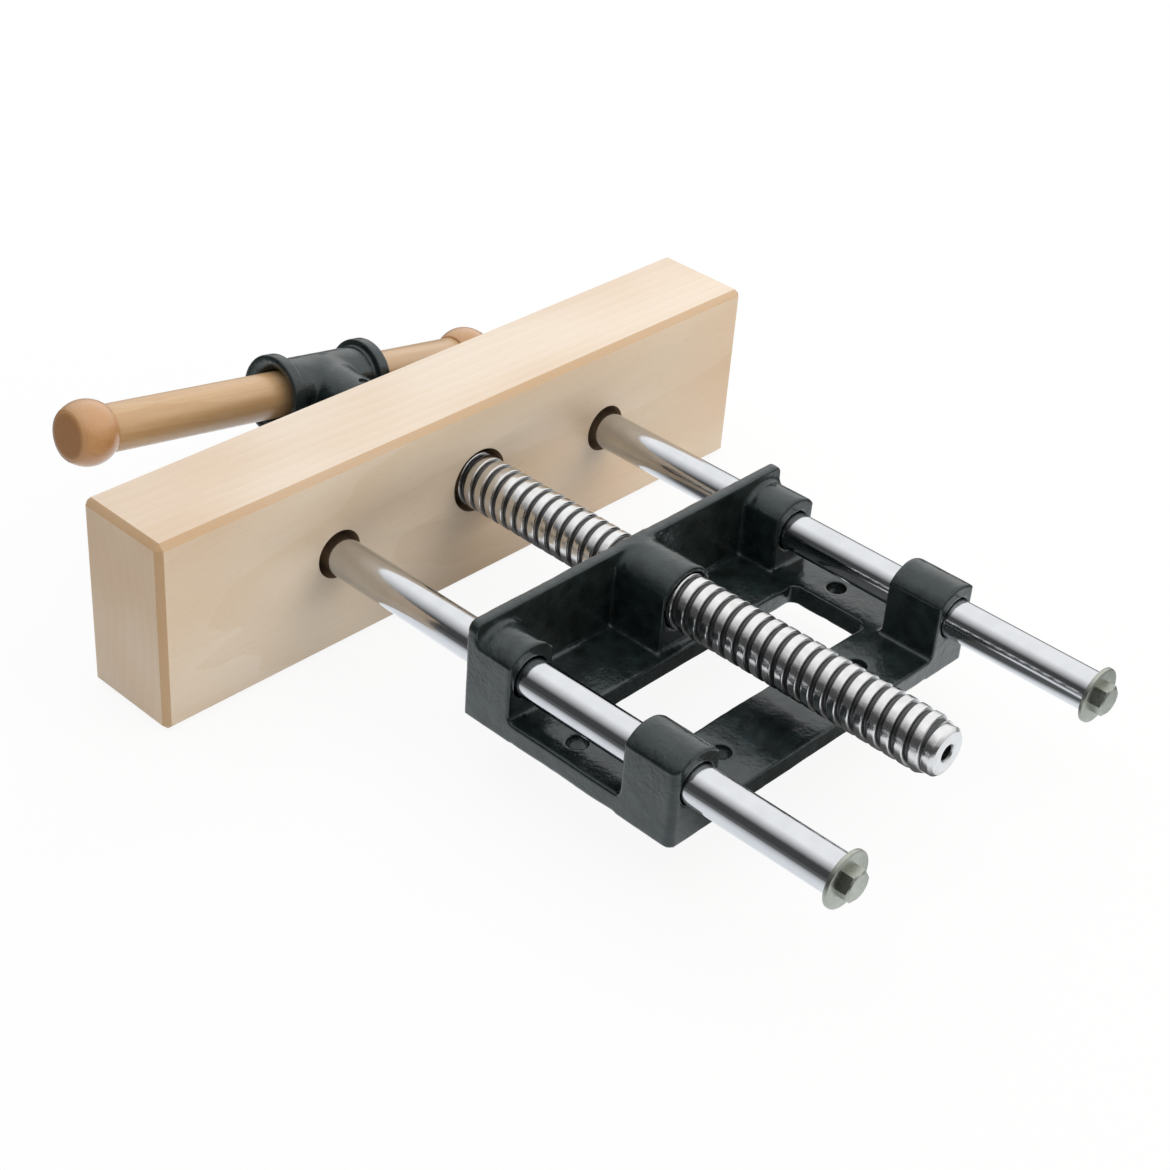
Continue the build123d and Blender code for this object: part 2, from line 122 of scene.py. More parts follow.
@dataclass(frozen=True)
class Line:
    """A straight axis: where it starts, which way it runs, and which way its angle zero points."""

    origin: Triple
    direction: Triple = (0.0, 1.0, 0.0)
    zero: Triple = (1.0, 0.0, 0.0)

    def frame(self) -> tuple[np.ndarray, np.ndarray, np.ndarray]:
        """Works out the axis's own directions.

        Returns:
            Three unit vectors: along the axis, towards angle zero, and towards a quarter turn.
        """
        run = np.array(self.direction) / np.linalg.norm(self.direction)
        first = np.array(self.zero) - run * np.dot(self.zero, run)
        first /= np.linalg.norm(first)
        return run, first, np.cross(run, first)

    def place(self, along: np.ndarray, radius: np.ndarray, angle: np.ndarray) -> np.ndarray:
        """Puts cylinder coordinates round the axis into space.

        A point is the origin, plus its distance along the direction, plus its radius along the turned zero
        direction.

        Args:
            along: Distances along the axis.
            radius: Distances from the axis.
            angle: Angles about the axis from its zero direction, in radians.

        Returns:
            The points, with a last dimension of three.
        """
        run, first, second = self.frame()
        around = np.cos(angle)[..., None] * first + np.sin(angle)[..., None] * second
        return np.array(self.origin) + along[..., None] * run + radius[..., None] * around

    def measure(self, points: np.ndarray) -> tuple[np.ndarray, np.ndarray]:
        """Measures points against the axis.

        Args:
            points: One row for each point.

        Returns:
            Each point's distance along the axis and its distance from it.
        """
        offset = points - np.array(self.origin)
        run = self.frame()[0]
        along = offset @ run
        return along, np.linalg.norm(offset - along[:, None] * run, axis=1)


def rounded(corners: Sequence[Pair], radii: Sequence[float], steps: int = 5) -> np.ndarray:
    """Rounds the inner corners of an open outline.

    Each corner is cut back by the radius over the tangent of half its angle, and a circular arc joins the two
    cuts.

    Args:
        corners: The outline's points in a plane.
        radii: One radius for each corner; 0 keeps it sharp, and the two ends are always kept.
        steps: Points on each arc.

    Returns:
        The rounded outline, one row for each point.
    """
    nearly_straight = math.pi / 2.0 - 0.01
    points = np.array(corners, float)
    out = [points[0]]
    for before, corner, after, radius in zip(points[:-2], points[1:-1], points[2:], radii[1:-1]):
        to_before = (before - corner) / np.linalg.norm(before - corner)
        to_after = (after - corner) / np.linalg.norm(after - corner)
        half = math.acos(float(np.clip(np.dot(to_before, to_after), -1.0, 1.0))) / 2.0
        if radius <= 0.0 or half > nearly_straight:
            out.append(corner)
            continue
        bisector = (to_before + to_after) / np.linalg.norm(to_before + to_after)
        centre = corner + bisector * radius / math.sin(half)
        start = corner + to_before * radius / math.tan(half) - centre
        end = corner + to_after * radius / math.tan(half) - centre
        sweep = math.atan2(start[0] * end[1] - start[1] * end[0], float(np.dot(start, end)))
        for share in np.linspace(0.0, 1.0, steps):
            turn = sweep * share
            spin = np.array([[math.cos(turn), -math.sin(turn)], [math.sin(turn), math.cos(turn)]])
            out.append(centre + spin @ start)
    out.append(points[-1])
    return np.array(out)


def both_ends(half: Sequence[Pair]) -> list[Pair]:
    """Returns an outline alike at both ends: the half turned over at the other end, then the half itself."""
    return [(radius, -along) for radius, along in reversed(half)] + list(half)


def washer_outline(bore: float, radius: float, thick: float, eases: Sequence[float]) -> np.ndarray:
    """Draws the closed section of a flat ring that stands on its axis's origin.

    The section starts and ends halfway up the bore, so that every corner can be rounded.

    Args:
        bore: The hole's radius.
        radius: The rim's radius.
        thick: The ring's thickness.
        eases: The four corners' radii: bore top, rim top, rim bottom and bore bottom.

    Returns:
        Rows of radius and distance along the axis.
    """
    halfway = (bore, thick / 2.0)
    corners = [halfway, (bore, thick), (radius, thick), (radius, 0.0), (bore, 0.0), halfway]
    return rounded(corners, [0.0, *eases, 0.0], 4)


def in_scene(name: str, data: Any) -> bpy.types.Object:
    """Puts a mesh, lamp or camera into the scene.

    Args:
        name: The object's name.
        data: What the object holds.

    Returns:
        The new object, at the origin.
    """
    made = bpy.data.objects.new(name, data)
    bpy.context.scene.collection.objects.link(made)
    return made


def close_up(mesh: bpy.types.Mesh, recalculate: bool = True, merge: float = 1e-7) -> None:
    """Merges a mesh's double points and drops its empty faces.

    Args:
        mesh: The mesh, which is changed.
        recalculate: Whether the faces are turned to point outwards.
        merge: The distance in metres within which points are one.
    """
    work = bmesh.new()
    work.from_mesh(mesh)
    bmesh.ops.remove_doubles(work, verts=work.verts, dist=merge)
    bmesh.ops.dissolve_degenerate(work, edges=work.edges, dist=1e-8)
    if recalculate:
        bmesh.ops.recalc_face_normals(work, faces=work.faces)
    work.to_mesh(mesh)
    work.free()


def mark(mesh: bpy.types.Mesh, name: str, values: np.ndarray) -> None:
    """Gives each point of a mesh a value that a finish reads by its name."""
    mesh.attributes.new(name, "FLOAT", "POINT").data.foreach_set("value", values)


def mesh_object(name: str, points: np.ndarray, faces: np.ndarray, groove: Optional[np.ndarray] = None,
                merge: float = 1e-7) -> bpy.types.Object:
    """Makes a closed mesh object.

    Args:
        name: The piece's name.
        points: One row of three coordinates for each point, in millimetres.
        faces: One row of point numbers for each face.
        groove: How much oil or paint darkens each point, if any does.
        merge: The distance in metres within which points are one.

    Returns:
        The new object, at the origin, in metres.
    """
    mesh = bpy.data.meshes.new(name)
    mesh.from_pydata((points * MM).tolist(), [], faces.tolist())
    if groove is not None:
        mark(mesh, "groove", groove)
    close_up(mesh, merge=merge)
    return in_scene(name, mesh)


def sheet_faces(rows: int, columns: int) -> np.ndarray:
    """Works out the four-sided faces of a tube of points stored ring by ring.

    Args:
        rows: How many rings of points there are.
        columns: How many points each ring has.

    Returns:
        One row of four point numbers for each face.
    """
    row, column = np.meshgrid(np.arange(rows - 1), np.arange(columns), indexing="ij")
    beside = (column + 1) % columns
    corners = (row * columns + column, row * columns + beside)
    above = ((row + 1) * columns + beside, (row + 1) * columns + column)
    return np.stack(corners + above, axis=-1).reshape(-1, 4)


def turned(name: str, axis: Line, outline: np.ndarray, segments: int = 96,
           limit: Optional[Distance] = None) -> bpy.types.Object:
    """Turns an outline round an axis, as on a lathe.

    The surface at angle a and outline point k has the outline's radius, or less where the limit says, and the
    outline's distance along the axis.

    Args:
        name: The piece's name.
        axis: The axis it is turned about, in millimetres.
        outline: Rows of radius and distance along the axis, from radius 0 to radius 0 or closed on itself.
        segments: How many points lie round the axis.
        limit: Gives the largest radius allowed at each angle, as for a hexagon.

    Returns:
        The turned piece.
    """
    angle = np.linspace(0.0, TURN, segments, endpoint=False)
    radius = np.repeat(outline[:, :1], segments, axis=1)
    if limit is not None:
        radius = np.minimum(radius, limit(angle)[None, :])
    along = np.repeat(outline[:, 1:], segments, axis=1)
    points = axis.place(along, radius, np.broadcast_to(angle, radius.shape))
    return mesh_object(name, points.reshape(-1, 3), sheet_faces(len(outline), segments))


def smooth(piece: bpy.types.Object, sharp_degrees: float = 35.0) -> None:
    """Shades a piece smooth, with edges sharper than the angle left crisp."""
    piece.data.shade_smooth()
    piece.data.set_sharp_from_angle(angle=math.radians(sharp_degrees))


def coordinates(mesh: bpy.types.Mesh) -> np.ndarray:
    """Reads a mesh's points.

    Args:
        mesh: The mesh.

    Returns:
        One row of three coordinates for each point, in millimetres.
    """
    flat = np.empty(len(mesh.vertices) * 3)
    mesh.vertices.foreach_get("co", flat)
    return flat.reshape(-1, 3) / MM


def set_coordinates(mesh: bpy.types.Mesh, points: np.ndarray) -> None:
    """Moves a mesh's points to the given rows, in millimetres."""
    mesh.vertices.foreach_set("co", (points * MM).ravel())
    mesh.update()


def merged_copy(name: str, node: str) -> bpy.types.Object:
    """Copies a node's mesh into a new piece, with its loose triangles joined.

    Args:
        name: The new piece's name.
        node: The node whose mesh it starts from.

    Returns:
        The new piece, without a finish.
    """
    mesh = frame["nodes"][node].data.copy()
    mesh.name = name
    mesh.materials.clear()
    close_up(mesh, recalculate=False)
    return in_scene(name, mesh)


def apply_modifiers(piece: bpy.types.Object) -> None:
    """Turns a piece's modifiers into its mesh.

    Args:
        piece: The piece, which is changed.
    """
    bpy.context.view_layer.update()
    result = bpy.data.meshes.new_from_object(piece.evaluated_get(bpy.context.evaluated_depsgraph_get()))
    piece.modifiers.clear()
    piece.data = result


def lattice_noise(points: np.ndarray, cell: float, seed: int) -> np.ndarray:
    """Works out smooth noise in space, from -1 to 1.

    A seeded block of random values repeats through space at the cell's spacing, and a point takes the eight
    values round it, weighted by the smooth step of its place between them.

    Args:
        points: One row for each point.
        cell: The spacing of the values.
        seed: The seed of the random values.

    Returns:
        One value for each point.
    """
    count = 32
    values = np.random.default_rng(seed).uniform(-1.0, 1.0, (count, count, count))
    place = points / cell
    base = np.floor(place).astype(int)
    part = place - base
    part = part * part * (3.0 - 2.0 * part)
    total = np.zeros(len(points))
    for corner in np.ndindex(2, 2, 2):
        step = np.array(corner)
        weight = np.prod(np.where(step == 1, part, 1.0 - part), axis=1)
        index = (base + step) % count
        total += weight * values[index[:, 0], index[:, 1], index[:, 2]]
    return total


def join(first: np.ndarray, second: np.ndarray, fillet: float) -> np.ndarray:
    """Joins two solids with a fillet: the lesser distance, less a parabola where the two are close."""
    overlap = np.maximum(fillet - np.abs(first - second), 0.0)
    return np.minimum(first, second) - overlap * overlap / (4.0 * fillet)


def common(first: np.ndarray, second: np.ndarray, ease: float) -> np.ndarray:
    """Keeps what two solids share, its new edge rounded: the join of their outsides, turned over."""
    return -join(-first, -second, ease)


def cut(solid: np.ndarray, hole: np.ndarray, ease: float) -> np.ndarray:
    """Takes a hole out of a solid, with its mouth eased."""
    return common(solid, -hole, ease)


def rounded_rectangle(u: np.ndarray, v: np.ndarray, half_u: float, half_v: float,
                      corner: float) -> np.ndarray:
    """Measures the distance to a rectangle about the origin with round corners.

    Outside it is the distance to the inner rectangle that the corners' centres make, less their radius, and
    inside it is that to the nearest side.

    Args:
        u: First coordinate of the points.
        v: Second coordinate of the points.
        half_u: Half the rectangle's length along the first.
        half_v: Half its length along the second.
        corner: The radius of its corners.

    Returns:
        One distance for each point.
    """
    outside_u = np.abs(u) - half_u + corner
    outside_v = np.abs(v) - half_v + corner
    beyond = np.hypot(np.maximum(outside_u, 0.0), np.maximum(outside_v, 0.0))
    return beyond + np.minimum(np.maximum(outside_u, outside_v), 0.0) - corner


def slab(u: np.ndarray, low: float, high: float) -> np.ndarray:
    """Distance to the space between two planes."""
    return np.abs(u - (low + high) / 2.0) - (high - low) / 2.0


def arch(u: np.ndarray, z: np.ndarray, half_width: float, axis_height: float, radius: float) -> np.ndarray:
    """Distance to a flat-sided arch: inside its sides, and below its axis or within its radius."""
    crown = np.minimum(np.hypot(u, z - axis_height) - radius, z - axis_height)
    return np.maximum(np.abs(u) - half_width, crown)


def tapered_bar(u: np.ndarray, v: np.ndarray, first: Triple, second: Triple) -> np.ndarray:
    """Measures the distance to the outline that a belt round two discs makes.

    Along the line of centres the edge leans by the difference of the radii over the distance. Past either
    tangent point the nearest place is on that disc.

    Args:
        u: First coordinate of the points.
        v: Second coordinate of the points.
        first: Centre and radius of one disc.
        second: Centre and radius of the other disc.

    Returns:
        One distance for each point.
    """
    run_u, run_v = second[0] - first[0], second[1] - first[1]
    length = math.hypot(run_u, run_v)
    lean = (first[2] - second[2]) / length
    level = math.sqrt(1.0 - lean * lean)
    along = ((u - first[0]) * run_u + (v - first[1]) * run_v) / length
    off = np.abs((u - first[0]) * run_v - (v - first[1]) * run_u) / length
    station = level * along - lean * off
    by_first = np.hypot(off, along) - first[2]
    by_second = np.hypot(off, along - length) - second[2]
    by_belt = level * off + lean * along - first[2]
    return np.where(station < 0.0, by_first, np.where(station > level * length, by_second, by_belt))


def settle(points: np.ndarray, distance: Distance, steps: int) -> np.ndarray:
    """Moves points onto the level surface of a distance formula.

    Each step measures the slope by central differences and goes back along it by the distance over the
    slope's square, but never further than the longest move.

    Args:
        points: One row for each point, near the surface.
        distance: Gives each point's distance outside the solid.
        steps: How often the points are moved.

    Returns:
        The points on the surface.
    """
    probe, longest_move, flattest, least = 0.02, 0.8, 0.05, 1e-9
    for _ in range(steps):
        value = distance(points)
        slope = np.empty_like(points)
        for axis in range(3):
            shift = np.zeros(3)
            shift[axis] = probe
            slope[:, axis] = (distance(points + shift) - distance(points - shift)) / (2.0 * probe)
        move = -value[:, None] * slope / np.maximum((slope * slope).sum(axis=1), flattest)[:, None]
        size = np.linalg.norm(move, axis=1, keepdims=True)
        points = points + move * np.minimum(1.0, longest_move / np.maximum(size, least))
    return points


def evened(mesh: bpy.types.Mesh, points: np.ndarray, share: float) -> np.ndarray:
    """Spreads points evenly over a mesh.

    Every point goes the given share of the way to the mean of the points that an edge joins it to.

    Args:
        mesh: The mesh, for its edges.
        points: Where its points are now.
        share: How far they go, from 0 to 1.

    Returns:
        Where the points go.
    """
    ends = np.empty(len(mesh.edges) * 2, np.int64)
    mesh.edges.foreach_get("vertices", ends)
    first, second = ends.reshape(-1, 2).T
    count = np.bincount(np.concatenate([first, second]), minlength=len(points))[:, None]
    total = np.zeros_like(points)
    for column in range(3):
        total[:, column] = np.bincount(first, points[second, column], len(points))
        total[:, column] += np.bincount(second, points[first, column], len(points))
    return points + share * (total / np.maximum(count, 1) - points)


@dataclass(frozen=True)
class Sand:
    """The mould's sand: the sizes and depths in millimetres of its broad and close lumps, and their seed."""

    broad: float
    broad_depth: float
    close: float
    close_depth: float
    seed: int

    def sunk(self, points: np.ndarray) -> np.ndarray:
        """Returns how deep the skin lies: each depth, more or less by its own noise, so never outside."""
        broad = self.broad_depth * (1.0 + lattice_noise(points, self.broad, self.seed))
        return broad + self.close_depth * (1.0 + lattice_noise(points, self.close, self.seed + 1))


def sand_cast(name: str, node: str, distance: Distance, cell: float, sand: Sand) -> bpy.types.Object:
    """Makes a casting's skin: an even mesh on the level surface of its distance formula.

    The node's own solid gives the first even mesh. Its points are settled on the formula, and evened out and
    settled again a few times. The skin then sinks in as the sand's noise says.

    Args:
        name: The piece's name.
        node: The node whose solid it follows.
        distance: Gives each point's distance outside the casting, in millimetres.
        cell: The mesh's spacing, in millimetres.
        sand: The sand it is cast in.

    Returns:
        The cast piece.
    """
    piece = merged_copy(name, node)
    remesh = piece.modifiers.new("even", "REMESH")
    remesh.mode = "VOXEL"
    remesh.voxel_size = cell * MM
    apply_modifiers(piece)
    mesh = piece.data
    points = settle(coordinates(mesh), distance, steps=4)
    for _ in range(3):
        points = settle(evened(mesh, points, share=0.6), distance, steps=2)
    points = settle(points, lambda at: distance(at) + sand.sunk(at), steps=2)
    set_coordinates(mesh, points)
    smooth(piece, sharp_degrees=180.0)
    return piece


def cut_slot(piece: bpy.types.Object, axis: Line, size: Triple, turn: float) -> None:
    """Cuts a box-shaped slot into a piece at the start of its axis.

    Args:
        piece: The piece that is cut.
        axis: The line that the slot sinks along; the turn is about it.
        size: The slot's length, width and depth, in millimetres.
        turn: How far the slot is turned from the line's angle zero, in radians.
    """
    run, first, second = axis.frame()
    ahead = math.cos(turn) * first + math.sin(turn) * second
    aside = np.cross(run, ahead)
    signs = np.array([(a, b, c) for a in (-1, 1) for b in (-1, 1) for c in (-1, 1)], float) / 2.0
    corners = np.array(axis.origin) + signs @ (np.array(size)[:, None] * np.stack([ahead, aside, run]))
    sides = [(0, 1, 3, 2), (4, 6, 7, 5), (0, 4, 5, 1), (2, 3, 7, 6), (0, 2, 6, 4), (1, 5, 7, 3)]
    tool = mesh_object("slot_tool", corners, np.array(sides))
    saw = piece.modifiers.new("slot", "BOOLEAN")
    saw.operation = "DIFFERENCE"
    saw.solver = "EXACT"
    saw.object = tool
    apply_modifiers(piece)
    bpy.data.objects.remove(tool)


def add(tree: bpy.types.NodeTree, kind: str, inputs: Union[dict, Sequence] = (),
        **settings: Any) -> bpy.types.Node:
    """Adds a node to a tree.

    Args:
        tree: The material's or world's node tree.
        kind: The node type's name after its ShaderNode prefix.
        inputs: A socket to link to, or a value to set, for each input: in order, or by its name or number.
        settings: The node's own properties.

    Returns:
        The new node.
    """
    node = tree.nodes.new("ShaderNode" + kind)
    for key, value in settings.items():
        setattr(node, key, value)
    for key, value in inputs.items() if isinstance(inputs, dict) else enumerate(inputs):
        if isinstance(value, bpy.types.NodeSocket):
            tree.links.new(value, node.inputs[key])
        else:
            node.inputs[key].default_value = value
    return node


def per(millimetres: float) -> float:
    """Returns a texture scale whose features are the given size."""
    return 1.0 / (millimetres * MM)


def emptied(owner: Any) -> bpy.types.NodeTree:
    """Gives a material or a world an empty node tree.

    Args:
        owner: The material or world.

    Returns:
        Its node tree.
    """
    owner.use_nodes = True
    owner.node_tree.nodes.clear()
    return owner.node_tree


def blank(name: str) -> tuple[bpy.types.Material, bpy.types.NodeTree, bpy.types.Node]:
    """Starts a material with one Principled shader on its output.

    Args:
        name: The material's name.

    Returns:
        The material, its node tree and the shader.
    """
    material = bpy.data.materials.new(name)
    tree = emptied(material)
    shader = add(tree, "BsdfPrincipled")
    add(tree, "OutputMaterial", {"Surface": shader.outputs[0]})
    return material, tree, shader


def stretched(tree: bpy.types.NodeTree, place: bpy.types.NodeSocket, sizes: Triple,
              detail: float) -> bpy.types.Node:
    """Lays out noise whose lumps are longer one way than another, as fibres and tool marks are.

    Args:
        tree: The material's node tree.
        place: The socket of the coordinates.
        sizes: The lumps' sizes along X, Y and Z, in millimetres.
        detail: How many finer octaves are added.

    Returns:
        The noise's node.
    """
    scale = tuple(per(size) for size in sizes)
    scaled = add(tree, "Mapping", {"Vector": place, "Scale": scale}).outputs[0]
    return add(tree, "TexNoise", {"Vector": scaled, "Scale": 1.0, "Detail": detail})


def tinted(tree: bpy.types.NodeTree, under: Any, over: str, pattern: bpy.types.NodeSocket, between: Pair,
           most: float) -> bpy.types.NodeSocket:
    """Lays one colour over another where a pattern is strong.

    The upper colour's share rises from 0 to its most as the pattern rises between two values.

    Args:
        tree: The material's node tree.
        under: The lower colour, or its socket.
        over: The upper colour, in hex digits.
        pattern: The pattern's socket.
        between: The pattern's values where the upper colour starts and where its share is full.
        most: The upper colour's largest share.

    Returns:
        The socket of the mixed colour.
    """
    share = add(tree, "MapRange", (pattern, *between, 0.0, most)).outputs[0]
    return add(tree, "Mix", {0: share, 6: under, 7: linear(over)}, data_type="RGBA").outputs[2]


@dataclass(frozen=True)
class Beech:
    """Beech: close pale wood with soft growth rings, fine streaks and short dark flecks along its grain.

    Sizes and places are in millimetres. The grain runs along X once it is turned by its own angle.
    """

    name: str
    pale: str
    tan: str
    blush: str
    fleck: str
    edge: str
    grain_turn: float
    pith: Triple
    ring: float
    ring_share: float
    streak_share: float
    fleck_share: float
    roughness: float
    coat: float
    # Darker brown on the bore walls: painted shade
    painted_bore_shade: str = "#967B60"
    lean_degrees: Pair = (1.2, 1.6)
    drift_size: Triple = (260.0, 55.0, 55.0)
    drift_push: float = 18.0
    ring_waver: float = 0.6
    fibre_size: Triple = (70.0, 0.9, 0.9)
    fibre_between: Pair = (0.35, 0.75)
    fleck_size: Triple = (5.0, 0.7, 0.7)
    fleck_between: Pair = (0.63, 0.74)
    cloud_size: Triple = (120.0, 60.0, 60.0)
    cloud_between: Pair = (0.42, 0.68)
    cloud_share: float = 0.5
    edge_share: float = 0.8
    gloss_between: Pair = (0.3, 0.8)
    gloss_swing: Pair = (-0.05, 0.08)
    coat_roughness: float = 0.28
    grain_depth: float = 0.15
    grain_relief: float = 0.12

    def material(self) -> bpy.types.Material:
        """Mixes the wood from its rings, fibres, clouds and flecks, browns what was cut, and lays a painted
        shade in the bores.

        Returns:
            The finished material.
        """
        material, tree, shader = blank(self.name)
        place = add(tree, "TexCoord").outputs["Object"]
        turn = (math.radians(self.lean_degrees[0]), self.grain_turn, math.radians(self.lean_degrees[1]))
        shift = tuple(part * MM for part in self.pith)
        grain = add(tree, "Mapping", {"Vector": place, "Location": shift, "Rotation": turn}).outputs[0]

        # Slow waves push the rings about, as a tree grows
        drift = stretched(tree, grain, self.drift_size, 2.0).outputs["Color"]
        push = (0.0, self.drift_push * MM, self.drift_push * MM)
        pushed = add(tree, "VectorMath", (drift, push), operation="MULTIPLY").outputs[0]
        bent = add(tree, "VectorMath", (grain, pushed), operation="ADD").outputs[0]
        # A wave texture repeats every twentieth of a turn over its scale
        ring_scale = TURN / 20.0 * per(self.ring)
        wavering = {"Vector": bent, "Scale": ring_scale, "Distortion": self.ring_waver, "Detail": 2.0}
        saw = {"wave_type": "RINGS", "rings_direction": "X", "wave_profile": "SAW"}
        rings = add(tree, "TexWave", wavering, **saw).outputs["Fac"]

        # Fibres are long and thin, and so are the flecks
        fibre = stretched(tree, grain, self.fibre_size, 3.0).outputs["Fac"]
        fleck = stretched(tree, grain, self.fleck_size, 1.0).outputs["Fac"]
        fleck = add(tree, "MapRange", (fleck, *self.fleck_between, 0.0, 1.0)).outputs[0]
        cloud = stretched(tree, grain, self.cloud_size, 1.0).outputs["Fac"]
        colour = tinted(tree, linear(self.pale), self.tan, rings, (0.0, 1.0), self.ring_share)
        colour = tinted(tree, colour, self.tan, fibre, self.fibre_between, self.streak_share)
        colour = tinted(tree, colour, self.blush, cloud, self.cloud_between, self.cloud_share)
        colour = tinted(tree, colour, self.fleck, fleck, (0.0, 1.0), self.fleck_share)

        # Cut across the grain, chamfers and ends drink more oil, and the bores get a darker brown as painted
        # shade
        across = add(tree, "Attribute", attribute_name="edge").outputs["Fac"]
        colour = tinted(tree, colour, self.edge, across, (0.0, 1.0), self.edge_share)
        bore_faces = add(tree, "Attribute", attribute_name="bore").outputs["Fac"]
        colour = tinted(tree, colour, self.painted_bore_shade, bore_faces, (0.0, 1.0), 1.0)
        tree.links.new(colour, shader.inputs["Base Color"])

        swing = [self.roughness + change for change in self.gloss_swing]
        rough = add(tree, "MapRange", (fibre, *self.gloss_between, *swing)).outputs[0]
        tree.links.new(rough, shader.inputs["Roughness"])
        shader.inputs["Coat Weight"].default_value = self.coat
        shader.inputs["Coat Roughness"].default_value = self.coat_roughness
        lines = add(tree, "Math", (fibre, fleck), operation="SUBTRACT").outputs[0]
        relief = {"Height": lines, "Strength": self.grain_relief, "Distance": self.grain_depth * MM}
        tree.links.new(add(tree, "Bump", relief).outputs[0], shader.inputs["Normal"])
        return material


@dataclass(frozen=True)
class GlossEnamel:
    """Gloss enamel brushed over sand-cast iron: near black, with the sand's lumps and the brush's sags.

    Sizes are in millimetres.
    """

    name: str
    base: str
    # The lit colour is a painted highlight
    lit: str
    gloss: str = "#DFEBED"
    index: float = 1.5
    lump: float = 7.0
    grain: float = 2.0
    patch: float = 22.0
    grain_share: float = 0.9
    bare_between: Pair = (0.42, 0.62)
    bare_grain: Pair = (0.35, 1.2)
    depth: float = 0.5
    relief: float = 0.6
    lit_between: Pair = (0.35, 0.7)
    gloss_between: Pair = (0.35, 0.65)
    roughness: Pair = (0.15, 0.3)
    coat: float = 0.3
    coat_roughness: float = 0.1

    def material(self) -> bpy.types.Material:
        """Bumps of three sizes carry the lumps, and the gloss varies where the paint lies thin.

        Returns:
            The finished material.
        """
        material, tree, shader = blank(self.name)
        place = add(tree, "TexCoord").outputs["Object"]
        lumps, sand, thin = (
            add(tree, "TexNoise", {"Vector": place, "Scale": per(size), "Detail": detail}).outputs["Fac"]
            for size, detail in ((self.lump, 2.0), (self.grain, 4.0), (self.patch, 3.0))
        )
        # The sand shows through more where the paint lies thin
        bare = add(tree, "MapRange", (thin, *self.bare_between, *self.bare_grain)).outputs[0]
        grit = add(tree, "Math", (sand, bare), operation="MULTIPLY").outputs[0]
        height = add(tree, "Math", (grit, self.grain_share, lumps), operation="MULTIPLY_ADD").outputs[0]
        relief = {"Height": height, "Strength": self.relief, "Distance": self.depth * MM}
        tree.links.new(add(tree, "Bump", relief).outputs[0], shader.inputs["Normal"])
        # The lighter lit colour on the lumps' high parts is a painted highlight
        colour = tinted(tree, linear(self.base), self.lit, lumps, self.lit_between, 1.0)
        tree.links.new(colour, shader.inputs["Base Color"])
        rough = add(tree, "MapRange", (thin, *self.gloss_between, *self.roughness)).outputs[0]
        tree.links.new(rough, shader.inputs["Roughness"])
        shader.inputs["IOR"].default_value = self.index
        shader.inputs["Specular Tint"].default_value = linear(self.gloss)
        shader.inputs["Coat Weight"].default_value = self.coat
        shader.inputs["Coat Roughness"].default_value = self.coat_roughness
        return material


@dataclass(frozen=True)
class BrightMetal:
    """Bare or plated metal: its grain is lines round the work or a mottle, and its grooves hold dark oil
    with painted shade.

    Sizes and depths are in millimetres.
    """

    name: str
    base: str
    shade: str
    roughness: Pair
    mark: Triple
    mark_depth: float
    wave: float
    wave_depth: float
    # Dark colour for oil and painted shade in grooves and holes
    oil_and_shade: str = "#2E3033"
    oil_roughness: float = 0.3
    between: Pair = (0.3, 0.75)
    haze_share: float = 0.6
    mark_relief: float = 0.3
    wave_relief: float = 0.5

    def material(self) -> bpy.types.Material:
        """Makes the metal from fine marks, broad waves, and dark oil with painted shade.

        Noise stretched to the marks' size gives gloss and fine bump, broad noise bends the reflections a
        little, and the groove attribute darkens the roots with oil and painted shade.

        Returns:
            The finished material.
        """
        material, tree, shader = blank(self.name)
        place = add(tree, "TexCoord").outputs["Object"]
        marks = stretched(tree, place, self.mark, 3.0).outputs["Fac"]
        haze = add(tree, "TexNoise", {"Vector": place, "Scale": per(self.wave), "Detail": 3.0}).outputs["Fac"]
        groove = add(tree, "Attribute", attribute_name="groove").outputs["Fac"]
        colour = tinted(tree, linear(self.base), self.shade, haze, self.between, self.haze_share)
        # The groove attribute darkens the thread's roots with oil and painted shade, the centre hole with
        # painted shade, and the whole hub pin
        colour = tinted(tree, colour, self.oil_and_shade, groove, (0.0, 1.0), 1.0)
        tree.links.new(colour, shader.inputs["Base Color"])
        rough = add(tree, "MapRange", (marks, *self.between, *self.roughness)).outputs[0]
        rough = add(tree, "Math", (groove, self.oil_roughness, rough), operation="MULTIPLY_ADD").outputs[0]
        tree.links.new(rough, shader.inputs["Roughness"])
        shader.inputs["Metallic"].default_value = 1.0
        relief = {"Height": marks, "Strength": self.mark_relief, "Distance": self.mark_depth * MM}
        fine = add(tree, "Bump", relief).outputs[0]
        relief = {"Height": haze, "Strength": self.wave_relief, "Distance": self.wave_depth * MM}
        waved = add(tree, "Bump", {**relief, "Normal": fine}).outputs[0]
        tree.links.new(waved, shader.inputs["Normal"])
        return material


